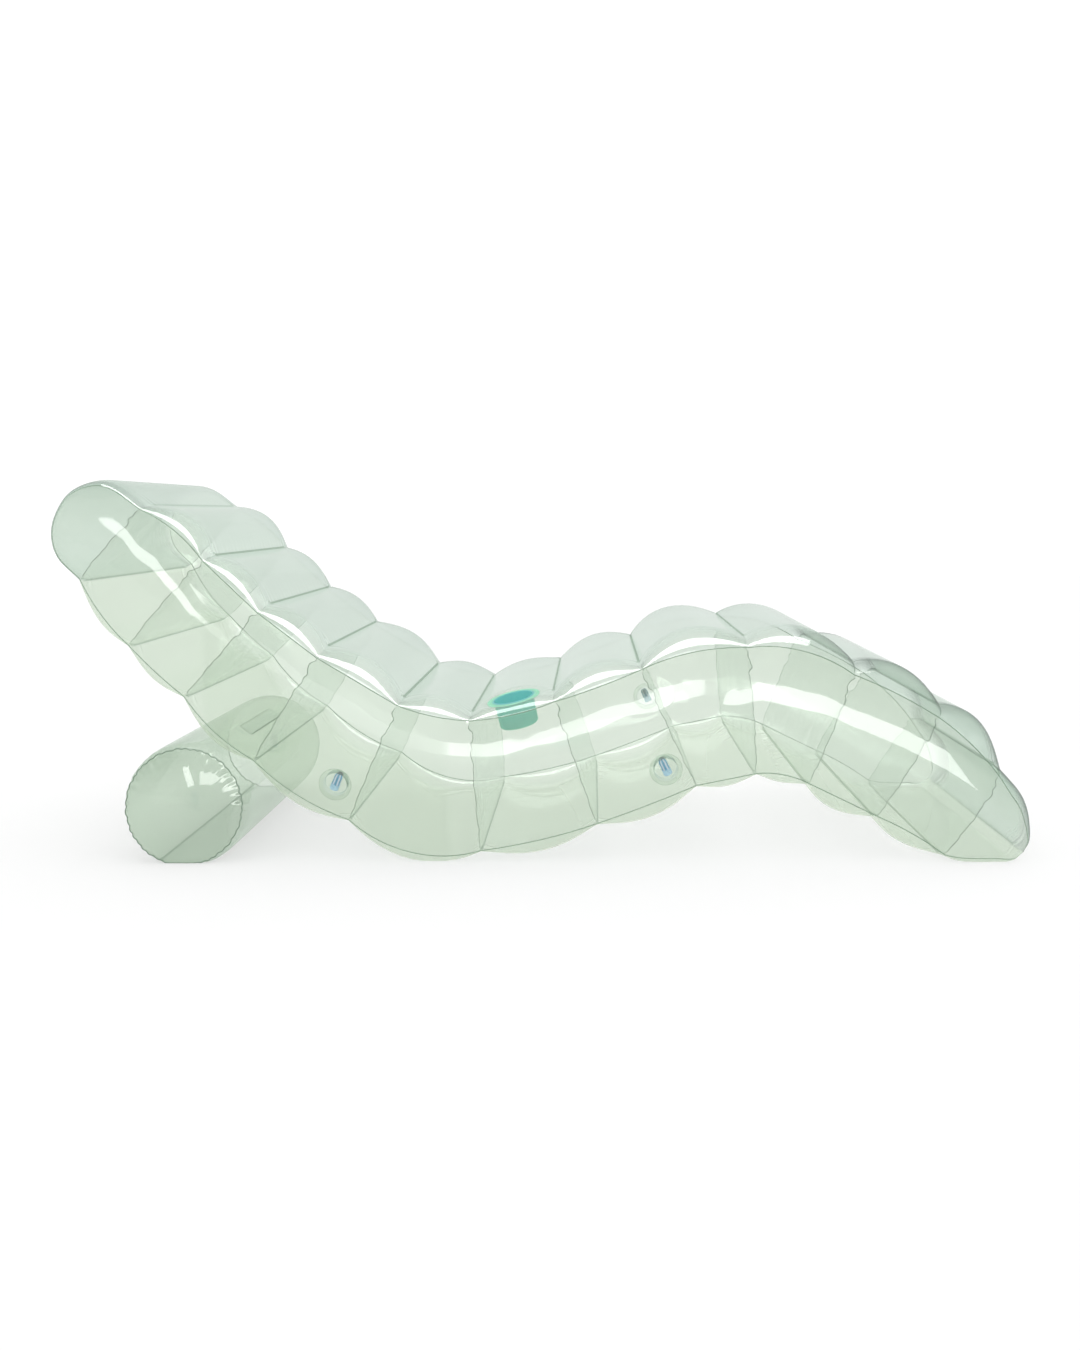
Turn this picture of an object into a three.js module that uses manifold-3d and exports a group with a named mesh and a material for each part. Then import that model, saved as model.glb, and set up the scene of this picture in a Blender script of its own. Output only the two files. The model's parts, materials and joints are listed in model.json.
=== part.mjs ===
// Inflatable pool lounger: a wavy air mattress of clear film with a round bolster under its back,
// one cup holder in the seat and four valves.
// Millimetres. +Z is up, +X runs to the feet and +Y to the left of someone who lies on it.
// The origin is under the middle of the lounger, on the floor.
import * as THREE from "three";
import { mergeVertices } from "three/addons/utils/BufferGeometryUtils.js";
import Module from "manifold-3d";

const wasm = await Module();
wasm.setup();

// Driving sizes of the mattress
const profileLength = 1952; // head to feet along the edge seam
const profileHeight = 756; // floor to the top of the head end
const mattressWidth = 850; // between the edge seams
const film = 0.5; // thickness of the clear sheet
const gap = 0.3; // stands for a weld between two sheets
const lap = 4; // width of the edge weld, where the side panel lies inside the belt
const roll = 85; // width over which a chamber curves down to its edge seam
const topWeldRise = 12; // how far the weld of a web lies outside the edge seam
const bottomWeldRise = 6;
const tipRise = 2; // and the foot seam
const headCrown = 5; // extra rise round the head end
const footCrown = 16; // extra rise of the last chamber
const sideBulgeShare = 0.09; // bulge of a side panel, of its own height
const webClear = 6; // from a web's free edge to the side panel, which lets the air pass

// Where the 12 webs meet the edge seams, in shares of profileLength and profileHeight, head to feet
const topSeamShares = [
  [0.09, 0.937], [0.154, 0.801], [0.21, 0.664], [0.271, 0.544], [0.354, 0.417], [0.428, 0.377],
  [0.515, 0.428], [0.604, 0.513], [0.713, 0.571], [0.822, 0.499], [0.91, 0.384], [0.972, 0.227],
];
const bottomSeamShares = [
  [0.028, 0.751], [0.078, 0.576], [0.135, 0.44], [0.206, 0.272], [0.304, 0.114], [0.439, 0.032],
  [0.558, 0.103], [0.66, 0.204], [0.722, 0.236], [0.776, 0.209], [0.846, 0.122], [0.915, 0.02],
];
// How far the seam of each chamber bows outwards, in shares of the distance between its two webs
const topBowShares = [0.068, 0, 0, 0, -0.04, -0.04, -0.016, 0.06, 0.096, 0.026, 0.041];
const bottomBowShares = [0.05, 0.02, 0.06, 0.058, 0.13, 0.025, 0.01, 0, -0.07, 0, -0.03];
// Rise of each chamber over its edge seam, in shares of the same distance
const topCrownShares = [0.2, 0.24, 0.26, 0.225, 0.22, 0.15, 0.235, 0.205, 0.2, 0.26, 0.3];
const bottomCrownShares = [0.15, 0.18, 0.15, 0.13, 0.1, 0.145, 0.17, 0.19, 0.23, 0.215, 0.21];
// The seam round the head end, and over and under the feet to the foot seam
const headSeamShares = [[0.059, 0.992], [0.042, 0.999], [0.018, 0.974], [0.003, 0.913], [0, 0.862], [0.006, 0.81]];
const footTopShares = [[0.981, 0.19], [0.992, 0.146], [0.998, 0.098], [1, 0.056]];
const footTipShares = [0.995, 0.029];
const footUnderShares = [[0.985, 0.011], [0.967, 0.011], [0.948, 0.011], [0.93, 0.013]];

// Bolster
const bolsterRadius = 115;
const bolsterShares = [0.135, 0.152]; // its centre, in shares of profileLength and profileHeight
const bolsterPress = 3; // how far its own weight flattens it on the floor
const bolsterDome = 24; // bulge of its end discs
const bolsterSwell = 6; // how much its tube swells between them
const bolsterSwellRun = 60; // over this length at each end
const bolsterSides = 32;
const bolsterEndShares = [0.87, 0.68, 0.48];

// Strap that hangs the bolster under the back
const strapLength = 300;
const strapThickness = 1;
const strapPadWidth = 34;
const strapFootWidth = 19;
const strapChamber = 3; // between the webs of this number and the next
const strapPlaceShare = 0.6; // along that chamber, from the upper web

// Cup holder
const cupRadius = 40;
const cupDepth = 58;
const cupWall = 1.5;
const cupTaper = 1.5;
const cupFlange = 55; // radius of the weld flange
const cupFlangeThickness = 1.2;
const cupDip = 3; // the cup's weld draws the film in by this much
const cupFromSide = 90;
const cupChamber = 6;
const cupPlaceShare = 0.51;
const cupSides = 36;
const cupLean = THREE.MathUtils.degToRad(8); // towards the near edge

// Valves
const valveFlange = 33; // radius of the weld flange
const valveFlangeThickness = 1;
const recessRadius = 23; // inside the recess that the folded stem lies in
const recessWall = 1;
const stemRadius = 8;
const boreRadius = 4.3;
const stemFoot = 14; // the hinge lies this far from the centre of the recess
const stemReach = 16; // from the hinge to the open end of the stem
const stemClear = 1.6; // from the folded stem to the recess floor, and to the rim
const plugHead = 9; // radius of the cap
const plugHeadLength = 12;
const plugShank = 5.5;
const plugEndRadius = 8;
const shankClear = 0.3;
const flapRadius = 7;
const valveSides = 28;
const stemSides = 16;
// Each valve on a side panel: its name, its side, its chamber, its place along the chamber and up
// the panel in shares, and the web that its stem lies along
const panelValveShares = [
  ["back_valve", -1, 4, [0.76, 0.226], 5],
  ["knee_valve_right", -1, 7, [0.805, 0.214], 8],
  ["knee_valve_left", 1, 7, [0.85, 0.368], 8],
];

// Derived sizes
const halfWidth = mattressWidth / 2;
const seamDepth = film + gap; // a piece that lies against the inner face of a sheet
const lapDepth = seamDepth + gap; // the lap of a side panel, which twists along the seam
const recessDepth = stemClear * 2 + stemRadius * 2;
const stemDepth = recessDepth / 2;
const stepsPerChamber = 4;
const headSteps = 6;
const footSteps = 4;
const rollAngles = [35, 65, 90].map(THREE.MathUtils.degToRad);
const rollTrace = 64; // steps used to measure along the roll
const panelRows = [0.25, 0.5, 0.75];

const clearFilm = { color: 0xcfe2d5, roughness: 0.12, metalness: 0, transparent: true, opacity: 0.45 };
const tealPlastic = { color: 0x5ab0b5, roughness: 0.25, metalness: 0 };
const clearPlastic = { color: 0xd8ebe4, roughness: 0.15, metalness: 0, transparent: true, opacity: 0.6 };
const bluePlastic = { color: 0x8fb7c8, roughness: 0.25, metalness: 0, transparent: true, opacity: 0.8 };

const lounger = new THREE.Group();

function addPiece(name, geometry, finish, parent = lounger) {
  const mesh = new THREE.Mesh(geometry, new THREE.MeshStandardMaterial(finish));
  mesh.name = name;
  parent.add(mesh);
  return mesh;
}

// Solids

function merged(geometry) {
  const bare = geometry.clone();
  bare.deleteAttribute("normal");
  bare.deleteAttribute("uv");
  return mergeVertices(bare);
}

function toSolid(geometry) {
  const shell = merged(geometry);
  const vertProperties = Float32Array.from(shell.attributes.position.array);
  const triVerts = Uint32Array.from(shell.index.array);
  return new wasm.Manifold(new wasm.Mesh({ numProp: 3, vertProperties, triVerts }));
}

function fromSolid(solid) {
  const { vertProperties, triVerts } = solid.getMesh();
  const geometry = new THREE.BufferGeometry();
  geometry.setAttribute("position", new THREE.BufferAttribute(vertProperties, 3));
  geometry.setIndex(new THREE.BufferAttribute(triVerts, 1));
  geometry.computeVertexNormals();
  return geometry;
}

function cut(geometry, tool) {
  return fromSolid(toSolid(geometry).subtract(toSolid(tool)));
}

function join(...geometries) {
  return fromSolid(geometries.map(toSolid).reduce((sum, next) => sum.add(next)));
}

// Triangles of a grid of points, without those that a pole or tip has flattened
function gridSurface(rows) {
  const positions = rows.flat().flatMap((p) => [p.x, p.y, p.z]);
  const columns = rows[0].length;
  const index = [];
  for (let i = 0; i + 1 < rows.length; i += 1) {
    for (let j = 0; j + 1 < columns; j += 1) {
      const a = i * columns + j;
      index.push(a, a + columns, a + 1, a + 1, a + columns, a + columns + 1);
    }
  }
  const geometry = new THREE.BufferGeometry();
  geometry.setAttribute("position", new THREE.Float32BufferAttribute(positions, 3));
  geometry.setIndex(index);
  const welded = mergeVertices(geometry);
  const kept = [];
  const corners = welded.index.array;
  for (let k = 0; k < corners.length; k += 3) {
    const [a, b, c] = corners.slice(k, k + 3);
    if (a !== b && b !== c && a !== c) kept.push(a, b, c);
  }
  welded.setIndex(kept);
  welded.computeVertexNormals();
  return welded;
}

// Six times the volume that the triangles enclose, negative where they are inside out
function signedVolume(points, index) {
  const [a, b, c] = [0, 0, 0].map(() => new THREE.Vector3());
  let sum = 0;
  for (let k = 0; k < index.length; k += 3) {
    a.fromArray(points, index[k] * 3);
    b.fromArray(points, index[k + 1] * 3);
    c.fromArray(points, index[k + 2] * 3);
    sum += a.dot(b.cross(c));
  }
  return sum;
}

// A closed sheet of film whose outer face is the given surface. The rows run so that the normals
// of the grid point into the air, and no point of the inner face comes nearer to the floor than lowest
function sheet(rows, lowest) {
  const surface = gridSurface(rows);
  const outer = surface.attributes.position.array;
  const normals = surface.attributes.normal.array;
  const count = outer.length / 3;
  const points = new Float32Array(outer.length * 2);
  for (let k = 0; k < outer.length; k += 1) {
    const moved = outer[k] + film * normals[k];
    points[k] = outer[k];
    points[outer.length + k] = k % 3 === 2 ? Math.max(moved, lowest) : moved;
  }
  const faces = surface.index.array;
  const index = [];
  const open = new Map();
  for (let k = 0; k < faces.length; k += 3) {
    const corner = [faces[k], faces[k + 1], faces[k + 2]];
    index.push(...corner, corner[2] + count, corner[1] + count, corner[0] + count);
    corner.forEach((from, side) => {
      const to = corner[(side + 1) % 3];
      if (!open.delete(`${to} ${from}`)) open.set(`${from} ${to}`, [from, to]);
    });
  }
  for (const [from, to] of open.values()) {
    index.push(to, from, from + count, to, from + count, to + count);
  }
  if (signedVolume(points, index) < 0) index.reverse();
  const geometry = new THREE.BufferGeometry();
  geometry.setAttribute("position", new THREE.BufferAttribute(points, 3));
  geometry.setIndex(index);
  geometry.computeVertexNormals();
  return geometry;
}

// The belt of film: top sheet and bottom sheet

const onProfile = ([x, z]) => new THREE.Vector2(x * profileLength, z * profileHeight);
const topWelds = topSeamShares.map(onProfile);
const bottomWelds = bottomSeamShares.map(onProfile);
const webUps = topWelds.map((top, i) => top.clone().sub(bottomWelds[i]).normalize());

// A station is one cross-line of the belt: where its edge seam lies, which way is out of the
// mattress there, and how far the film rises over the seam
function chamberStations(welds, ups, bows, crowns, weldRise) {
  const stations = [];
  for (let i = 0; i + 1 < welds.length; i += 1) {
    const reach = welds[i].distanceTo(welds[i + 1]);
    for (let k = 0; k < stepsPerChamber; k += 1) {
      const t = k / stepsPerChamber;
      const arch = 4 * t * (1 - t);
      const out = ups[i].clone().lerp(ups[i + 1], t).normalize();
      const point = welds[i].clone().lerp(welds[i + 1], t).addScaledVector(out, bows[i] * reach * arch);
      stations.push({ point, out, rise: weldRise + (crowns[i] * reach - weldRise) * arch });
    }
  }
  stations.push({ point: welds.at(-1), out: ups.at(-1), rise: weldRise });
  return stations;
}

// Stations round an end, between two welds or a weld and the foot seam. out turns the curve's
// tangent outwards, to its left or right
function endStations(from, shares, to, steps, turn, riseAt) {
  const points = [from.point, ...shares.map(onProfile), to.point];
  const curve = new THREE.CatmullRomCurve3(points.map((p) => new THREE.Vector3(p.x, 0, p.y)));
  const stations = [];
  for (let k = 1; k < steps; k += 1) {
    const at = curve.getPointAt(k / steps);
    const along = curve.getTangentAt(k / steps);
    const out = new THREE.Vector2(-along.z * turn, along.x * turn).normalize();
    stations.push({ point: new THREE.Vector2(at.x, at.z), out, rise: riseAt(k / steps) });
  }
  return stations;
}

const bottomOuts = webUps.map((up) => up.clone().negate());
const topStations = chamberStations(topWelds, webUps, topBowShares, topCrownShares, topWeldRise);
const bottomStations = chamberStations(
  bottomWelds, bottomOuts, bottomBowShares, bottomCrownShares, bottomWeldRise,
);

const footTip = {
  point: onProfile(footTipShares),
  out: new THREE.Vector2(...webUps.at(-1)).rotateAround(new THREE.Vector2(), -Math.PI * 0.6),
  rise: tipRise,
};
const lerp = THREE.MathUtils.lerp;
const headRise = (t) => lerp(topWeldRise, bottomWeldRise, t) + headCrown * Math.sin(Math.PI * t);
const footTopRise = (t) => lerp(topWeldRise, tipRise, t) + footCrown * 4 * t * (1 - t);
const footUnderRise = (t) => lerp(tipRise, bottomWeldRise, t) + footCrown * 4 * t * (1 - t);
const headStations = endStations(topStations[0], headSeamShares, bottomStations[0], headSteps, -1, headRise);
const footTopStations = endStations(topStations.at(-1), footTopShares, footTip, footSteps, 1, footTopRise);
const footUnderStations = endStations(
  footTip, footUnderShares, bottomStations.at(-1), footSteps, 1, footUnderRise,
);

// The angle of the roll at which a line over the film is a given distance from the edge seam
function rollAngle(rise, distance) {
  const step = rollAngles[0] / rollTrace;
  let angle = 0;
  for (let run = 0; run < distance && angle < rollAngles[0]; angle += step) {
    run += Math.hypot(roll * Math.sin(angle), rise * Math.cos(angle)) * step;
  }
  return angle;
}

// A point at a station, inset from the edge seam and lifted outwards, but never under the floor
function stationPoint({ point, out }, inset, lift, side, floor = 0) {
  const z = Math.max(point.y + out.y * lift, floor);
  return new THREE.Vector3(point.x + out.x * lift, side * (halfWidth - inset), z);
}

// A section of the belt's roll is a quarter of an ellipse, roll wide and rise high
function beltPoint(station, angle, side) {
  return stationPoint(station, roll * (1 - Math.cos(angle)), station.rise * Math.sin(angle), side);
}

// The lap of a side panel under the belt: share 0 is at the edge seam and 1 at the lap's inner edge
function lapPoint(station, share, side) {
  const angle = rollAngle(station.rise, lap);
  const inset = roll * (1 - Math.cos(angle));
  const lift = station.rise * Math.sin(angle);
  const depth = lapDepth / Math.hypot(inset, lift);
  return stationPoint(station, inset * share + lift * depth, lift * share - inset * depth, side, lapDepth);
}

function beltRow(station) {
  const angles = [0, rollAngle(station.rise, lap), ...rollAngles];
  const right = angles.map((angle) => beltPoint(station, angle, -1));
  const left = angles.map((angle) => beltPoint(station, angle, 1)).reverse();
  return [...right, ...left];
}

// Moves the last row of a sheet back from the sheet that it is welded to
function trimEnd(rows) {
  const last = rows.at(-1);
  const before = rows.at(-2);
  rows[rows.length - 1] = last.map((p, k) => {
    const back = before[k].clone().sub(p).setLength(gap);
    return p.clone().add(back);
  });
  return rows;
}

function beltSheet(stations) {
  const rows = trimEnd(stations.map(beltRow));
  return sheet(trimEnd(rows.reverse()).reverse(), film);
}

// Side panels: the edge of a panel lies inside the belt, and its middle bulges

const bottomHead = bottomStations[0];
const sidePairs = [
  ...headStations.slice(0, headSteps / 2).reverse().map((top, k) => [top, headStations[headSteps / 2 - 1 + k]]),
  ...topStations.map((top, k) => [top, bottomStations[k]]),
  ...footTopStations.map((top, k) => [top, footUnderStations.at(-1 - k)]),
  [footTip, footTip],
];

function panelPoint(top, bottom, side, share) {
  const upper = lapPoint(top, 0, side);
  const lower = lapPoint(bottom, 0, side);
  const height = upper.distanceTo(lower);
  const point = lower.lerp(upper, share);
  point.y += side * sideBulgeShare * height * 4 * share * (1 - share);
  return point;
}

function panelRow([top, bottom], side) {
  const shares = [0, ...panelRows, 1];
  const middle = shares.map((share) => panelPoint(top, bottom, side, share));
  return [lapPoint(bottom, 1, side), ...middle, lapPoint(top, 1, side)];
}

function sidePanel(side) {
  const rows = sidePairs.map((pair) => panelRow(pair, side));
  return sheet(side < 0 ? rows.reverse() : rows, lapDepth + film);
}

// Webs: each ties the two welds of its number, and follows the sheets and panels all round

function webOutline(i) {
  const height = topWelds[i].distanceTo(bottomWelds[i]);
  const edge = (rise, from, sign) =>
    rollAngles.map((angle) => [
      halfWidth - roll * (1 - Math.cos(angle)),
      from + sign * (rise * Math.sin(angle) - seamDepth),
    ]);
  const bulge = (row) => sideBulgeShare * height * 4 * row * (1 - row);
  const side = [0, ...panelRows, 1].map((row) => [halfWidth - webClear + bulge(row), row * height]);
  const half = [
    ...edge(bottomWeldRise, 0, -1).reverse(),
    ...side,
    ...edge(topWeldRise, height, 1),
  ];
  const other = half.map(([y, w]) => [-y, w]).reverse();
  return [...half, ...other].map(([y, w]) => new THREE.Vector2(y, w));
}

function addWeb(i) {
  const geometry = new THREE.ExtrudeGeometry(new THREE.Shape(webOutline(i)), { depth: film, bevelEnabled: false });
  geometry.translate(0, 0, -film / 2);
  const web = addPiece(`web_${String(i + 1).padStart(2, "0")}`, geometry, clearFilm);
  const across = new THREE.Vector3(0, 1, 0);
  const up = new THREE.Vector3(webUps[i].x, 0, webUps[i].y);
  web.quaternion.setFromRotationMatrix(new THREE.Matrix4().makeBasis(across, up, across.clone().cross(up)));
  web.position.set(bottomWelds[i].x, 0, bottomWelds[i].y);
}

// Bolster: a tube of film with a domed disc welded into each end

const bolsterAt = onProfile(bolsterShares);
bolsterAt.y = bolsterRadius - bolsterPress;

function bolsterPoint(radius, k, y, lowest) {
  const angle = (2 * Math.PI * (k % bolsterSides)) / bolsterSides - Math.PI / 2;
  const z = bolsterAt.y + radius * Math.sin(angle);
  return new THREE.Vector3(bolsterAt.x + radius * Math.cos(angle), y, Math.max(z, lowest));
}

function bolsterRing(radius, y, lowest) {
  return Array.from({ length: bolsterSides + 1 }, (_, k) => bolsterPoint(radius, k, y, lowest));
}

function bolsterTube() {
  const half = [[halfWidth, 0], [halfWidth - lap, 0], [halfWidth - bolsterSwellRun, bolsterSwell]];
  const places = [...half, ...half.map(([y, swell]) => [-y, swell]).reverse()];
  return sheet(places.map(([y, swell]) => bolsterRing(bolsterRadius + swell, y, 0)), film);
}

const bolsterEndAt = (share) => halfWidth + bolsterDome * (1 - share ** 2);

function bolsterEnd(side) {
  const radius = bolsterRadius - seamDepth;
  const shares = [1, ...bolsterEndShares, (valveFlange + gap) / radius, 0];
  const rings = shares.map((share) => bolsterRing(radius * share, side * bolsterEndAt(share), seamDepth));
  const rows = [bolsterRing(radius, side * (halfWidth - lap), seamDepth), ...rings];
  return sheet(side > 0 ? rows.reverse() : rows, seamDepth + film);
}

// The strap is a flat web with a weld pad on the mattress and another on the bolster

function plate(from, to, width, thickness) {
  // A bar of the given width, centred on a line of the profile and lying from it to its left
  const along = to.clone().sub(from).normalize();
  const left = new THREE.Vector2(-along.y, along.x);
  const corners = [[from, 0], [to, 0], [to, 1], [from, 1]];
  const outline = corners.map(([end, share]) => end.clone().addScaledVector(left, thickness * share));
  const geometry = new THREE.ExtrudeGeometry(new THREE.Shape(outline), { depth: width, bevelEnabled: false });
  return geometry.rotateX(Math.PI / 2);
}

function strap() {
  const near = (strapChamber - 1) * stepsPerChamber + Math.floor(strapPlaceShare * stepsPerChamber);
  const facet = [near, near + 1].map((k) => {
    const point = beltPoint(bottomStations[k], Math.PI / 2, 1);
    return new THREE.Vector2(point.x, point.z);
  });
  const along = facet[1].clone().sub(facet[0]).normalize();
  const away = new THREE.Vector2(along.y, -along.x);
  const place = (strapPlaceShare * stepsPerChamber) % 1;
  const padMiddle = facet[0].clone().lerp(facet[1], place).addScaledVector(away, gap);
  const padEnds = [-1, 1].map((sign) => padMiddle.clone().addScaledVector(along, (sign * strapPadWidth) / 2));
  const pad = plate(padEnds[1], padEnds[0], strapLength, strapThickness);

  const towards = padMiddle.clone().sub(bolsterAt).angle() + Math.PI / 2;
  const first = Math.floor((towards / (2 * Math.PI)) * bolsterSides);
  const [footA, footB] = [first, first + 1].map((k) => {
    const point = bolsterPoint(bolsterRadius + bolsterSwell, k, 0, 0);
    return new THREE.Vector2(point.x, point.z);
  });
  const footAlong = footB.clone().sub(footA).normalize();
  const footOut = new THREE.Vector2(footAlong.y, -footAlong.x);
  const footMiddle = footA.clone().lerp(footB, 0.5).addScaledVector(footOut, gap);
  const footEnds = [-1, 1].map((sign) => footMiddle.clone().addScaledVector(footAlong, (sign * strapFootWidth) / 2));
  const foot = plate(footEnds[1], footEnds[0], strapLength, strapThickness);

  const padInside = padMiddle.clone().addScaledVector(away, strapThickness / 2);
  const footInside = footMiddle.clone().addScaledVector(footOut, strapThickness / 2);
  const web = plate(padInside, footInside, strapLength, strapThickness);
  return join(pad, web, foot).translate(0, strapLength / 2, 0);
}

// A solid of revolution round the Z axis, from an outline of radii and heights
function lathe(outline, sides) {
  return new THREE.LatheGeometry(outline.map(([r, z]) => new THREE.Vector2(r, z)), sides).rotateX(Math.PI / 2);
}

// Cup holder

function cupFrame() {
  const i = (cupChamber - 1) * stepsPerChamber + Math.floor(cupPlaceShare * stepsPerChamber);
  const [a, b] = [topStations[i], topStations[i + 1]].map((station) => beltPoint(station, Math.PI / 2, -1));
  const at = a.lerp(b, (cupPlaceShare * stepsPerChamber) % 1);
  const slope = topWelds[cupChamber].clone().sub(topWelds[cupChamber - 1]).angle();
  const frame = new THREE.Group();
  frame.rotation.set(cupLean, -slope, 0, "YXZ");
  frame.position.set(at.x, -halfWidth + cupFromSide, at.z - cupDip);
  frame.updateMatrix();
  return frame;
}

const cupAt = cupFrame();

function cupHole() {
  const tool = new THREE.CylinderGeometry(cupFlange + gap, cupFlange + gap, cupDepth, cupSides);
  return tool.rotateX(Math.PI / 2).applyMatrix4(cupAt.matrix);
}

function cupHolder() {
  const inside = cupRadius - cupTaper;
  const outline = [
    [0, -cupDepth],
    [inside + cupWall, -cupDepth],
    [cupRadius + cupWall, -cupFlangeThickness],
    [cupFlange, -cupFlangeThickness],
    [cupFlange, 0],
    [cupRadius, 0],
    [inside, cupWall - cupDepth],
    [0, cupWall - cupDepth],
  ];
  return lathe(outline, cupSides);
}

// Valves: each is built with its flange in the XY plane, facing +Z, and its folded stem along +X

function valveBase() {
  const floor = -recessDepth - recessWall;
  const base = lathe([
    [0, floor],
    [recessRadius + recessWall, floor],
    [recessRadius + recessWall, -valveFlangeThickness],
    [valveFlange, -valveFlangeThickness],
    [valveFlange, 0],
    [recessRadius, 0],
    [recessRadius, -recessDepth],
    [0, -recessDepth],
  ], valveSides);
  const airHole = new THREE.CylinderGeometry(boreRadius, boreRadius, recessDepth, stemSides);
  return cut(base, airHole.rotateX(Math.PI / 2).translate(-stemFoot, 0, -recessDepth));
}

// Round its hinge the stem ends in a half ball, so that it turns in its recess without touching
function valveStem() {
  const start = -Math.sqrt(stemRadius ** 2 - boreRadius ** 2);
  const ball = [1 / 3, 2 / 3].map((share) => {
    const x = start * (1 - share);
    return [Math.sqrt(stemRadius ** 2 - x ** 2), x];
  });
  const outline = [[boreRadius, start], ...ball, [stemRadius, 0], [stemRadius, stemReach], [boreRadius, stemReach]];
  return lathe([...outline, outline[0]], stemSides).rotateY(Math.PI / 2);
}

function valvePlug() {
  const shank = boreRadius - shankClear;
  const end = gap + plugHeadLength;
  const outline = [
    [0, -plugShank],
    [shank, -plugShank],
    [shank, gap],
    [plugHead, gap],
    [plugHead, end - (plugHead - plugEndRadius)],
    [plugEndRadius, end],
    [0, end],
  ];
  return lathe(outline, stemSides).rotateY(Math.PI / 2).translate(stemReach, 0, 0);
}

function valveFlap() {
  return lathe([[0, -film], [flapRadius, -film], [flapRadius, 0], [0, 0]], stemSides);
}

function addValve(name, frame) {
  frame.name = `${name}_frame`;
  lounger.add(frame);
  addPiece(`${name}_base`, valveBase(), clearPlastic, frame);
  const stem = addPiece(`${name}_stem`, valveStem(), bluePlastic, frame);
  const plug = addPiece(`${name}_plug`, valvePlug(), bluePlastic, frame);
  const flap = addPiece(`${name}_flap`, valveFlap(), clearFilm, frame);
  stem.position.set(-stemFoot, 0, -stemDepth);
  plug.position.copy(stem.position);
  flap.position.set(-stemFoot, 0, -recessDepth - recessWall - gap);
}

function frameAt(position, out, along) {
  const x = along.clone().addScaledVector(out, -along.dot(out)).normalize();
  const frame = new THREE.Group();
  frame.quaternion.setFromRotationMatrix(new THREE.Matrix4().makeBasis(x, out.clone().cross(x), out));
  frame.position.copy(position);
  frame.updateMatrix();
  return frame;
}

// A point on a panel: place counts chambers from the first web, up is a share of the panel's height
function panelAt(place, up, side) {
  const station = Math.floor(place * stepsPerChamber);
  const rows = [0, ...panelRows, 1];
  const row = Math.min(rows.findLastIndex((share) => share <= up), panelRows.length);
  const [low, high] = [0, 1].map((r) => {
    const [a, b] = [0, 1].map((k) =>
      panelPoint(topStations[station + k], bottomStations[station + k], side, rows[row + r]));
    return a.lerp(b, (place * stepsPerChamber) % 1);
  });
  return low.lerp(high, (up - rows[row]) / (rows[row + 1] - rows[row]));
}

// The flange lies on the film all round, so its frame comes from four points at its rim
function panelValveFrame([, side, chamber, [along, up], web]) {
  const place = chamber - 1 + along;
  const length = panelAt(chamber - 1, up, side).distanceTo(panelAt(chamber, up, side));
  const height = panelAt(place, 0, side).distanceTo(panelAt(place, 1, side));
  const [back, front, low, high] = [
    panelAt(place - valveFlange / length, up, side),
    panelAt(place + valveFlange / length, up, side),
    panelAt(place, up - valveFlange / height, side),
    panelAt(place, up + valveFlange / height, side),
  ];
  const out = front.clone().sub(back).cross(high.clone().sub(low)).normalize();
  if (out.y * side < 0) out.negate();
  const position = back.add(front).add(low).add(high).multiplyScalar(1 / 4).addScaledVector(out, film);
  const down = webUps[web - 1].clone().negate();
  return frameAt(position, out, new THREE.Vector3(down.x, 0, down.y));
}

function valveHole(frame) {
  const tool = new THREE.CylinderGeometry(valveFlange + gap, valveFlange + gap, recessDepth, valveSides);
  return tool.rotateX(Math.PI / 2).applyMatrix4(frame.matrix);
}

// Assembly

const topBelt = [
  ...footTopStations.slice().reverse(),
  ...topStations.slice().reverse(),
  ...headStations,
];
addPiece("top_sheet", cut(beltSheet([footTip, ...topBelt, bottomHead]), cupHole()), clearFilm);
addPiece("bottom_sheet", beltSheet([...bottomStations, ...footUnderStations.slice().reverse(), footTip]), clearFilm);

const panelValves = panelValveShares.map((valve) => ({ name: valve[0], side: valve[1], frame: panelValveFrame(valve) }));
for (const [name, side] of [["right_side_panel", -1], ["left_side_panel", 1]]) {
  const holes = panelValves.filter((valve) => valve.side === side).map((valve) => valveHole(valve.frame));
  addPiece(name, holes.reduce(cut, sidePanel(side)), clearFilm);
}
topWelds.forEach((_, i) => addWeb(i));

const bolsterValveAt = bolsterEndAt((valveFlange + gap) / (bolsterRadius - seamDepth)) + film;
const bolsterValveFrame = frameAt(
  new THREE.Vector3(bolsterAt.x, bolsterValveAt, bolsterAt.y),
  new THREE.Vector3(0, 1, 0),
  new THREE.Vector3(0, 0, -1),
);
addPiece("bolster_tube", bolsterTube(), clearFilm);
addPiece("bolster_end_right", bolsterEnd(-1), clearFilm);
addPiece("bolster_end_left", cut(bolsterEnd(1), valveHole(bolsterValveFrame)), clearFilm);
addPiece("bolster_strap", strap(), clearFilm);

lounger.add(cupAt);
addPiece("cup_holder", cupHolder(), tealPlastic, cupAt);
panelValves.forEach(({ name, frame }) => addValve(name, frame));
addValve("bolster_valve", bolsterValveFrame);

// The origin goes under the middle of the whole lounger
const box = new THREE.Box3().setFromObject(lounger, true);
lounger.position.set(-(box.min.x + box.max.x) / 2, -(box.min.y + box.max.y) / 2, -box.min.z);

export default lounger;
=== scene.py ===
"""Looks of the inflatable pool lounger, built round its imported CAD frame.

The mattress is a belt of clear vinyl closed by two side panels and tied by twelve cross webs.
Lengths are in millimetres up to the mesh, where they turn to metres in the frame's own place.
"""
import json
from functools import partial

import bmesh
import bpy
import numpy as np
from bpy.props import FloatProperty, FloatVectorProperty, IntProperty, PointerProperty
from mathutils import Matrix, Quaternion, Vector
from numpy.linalg import norm


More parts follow.
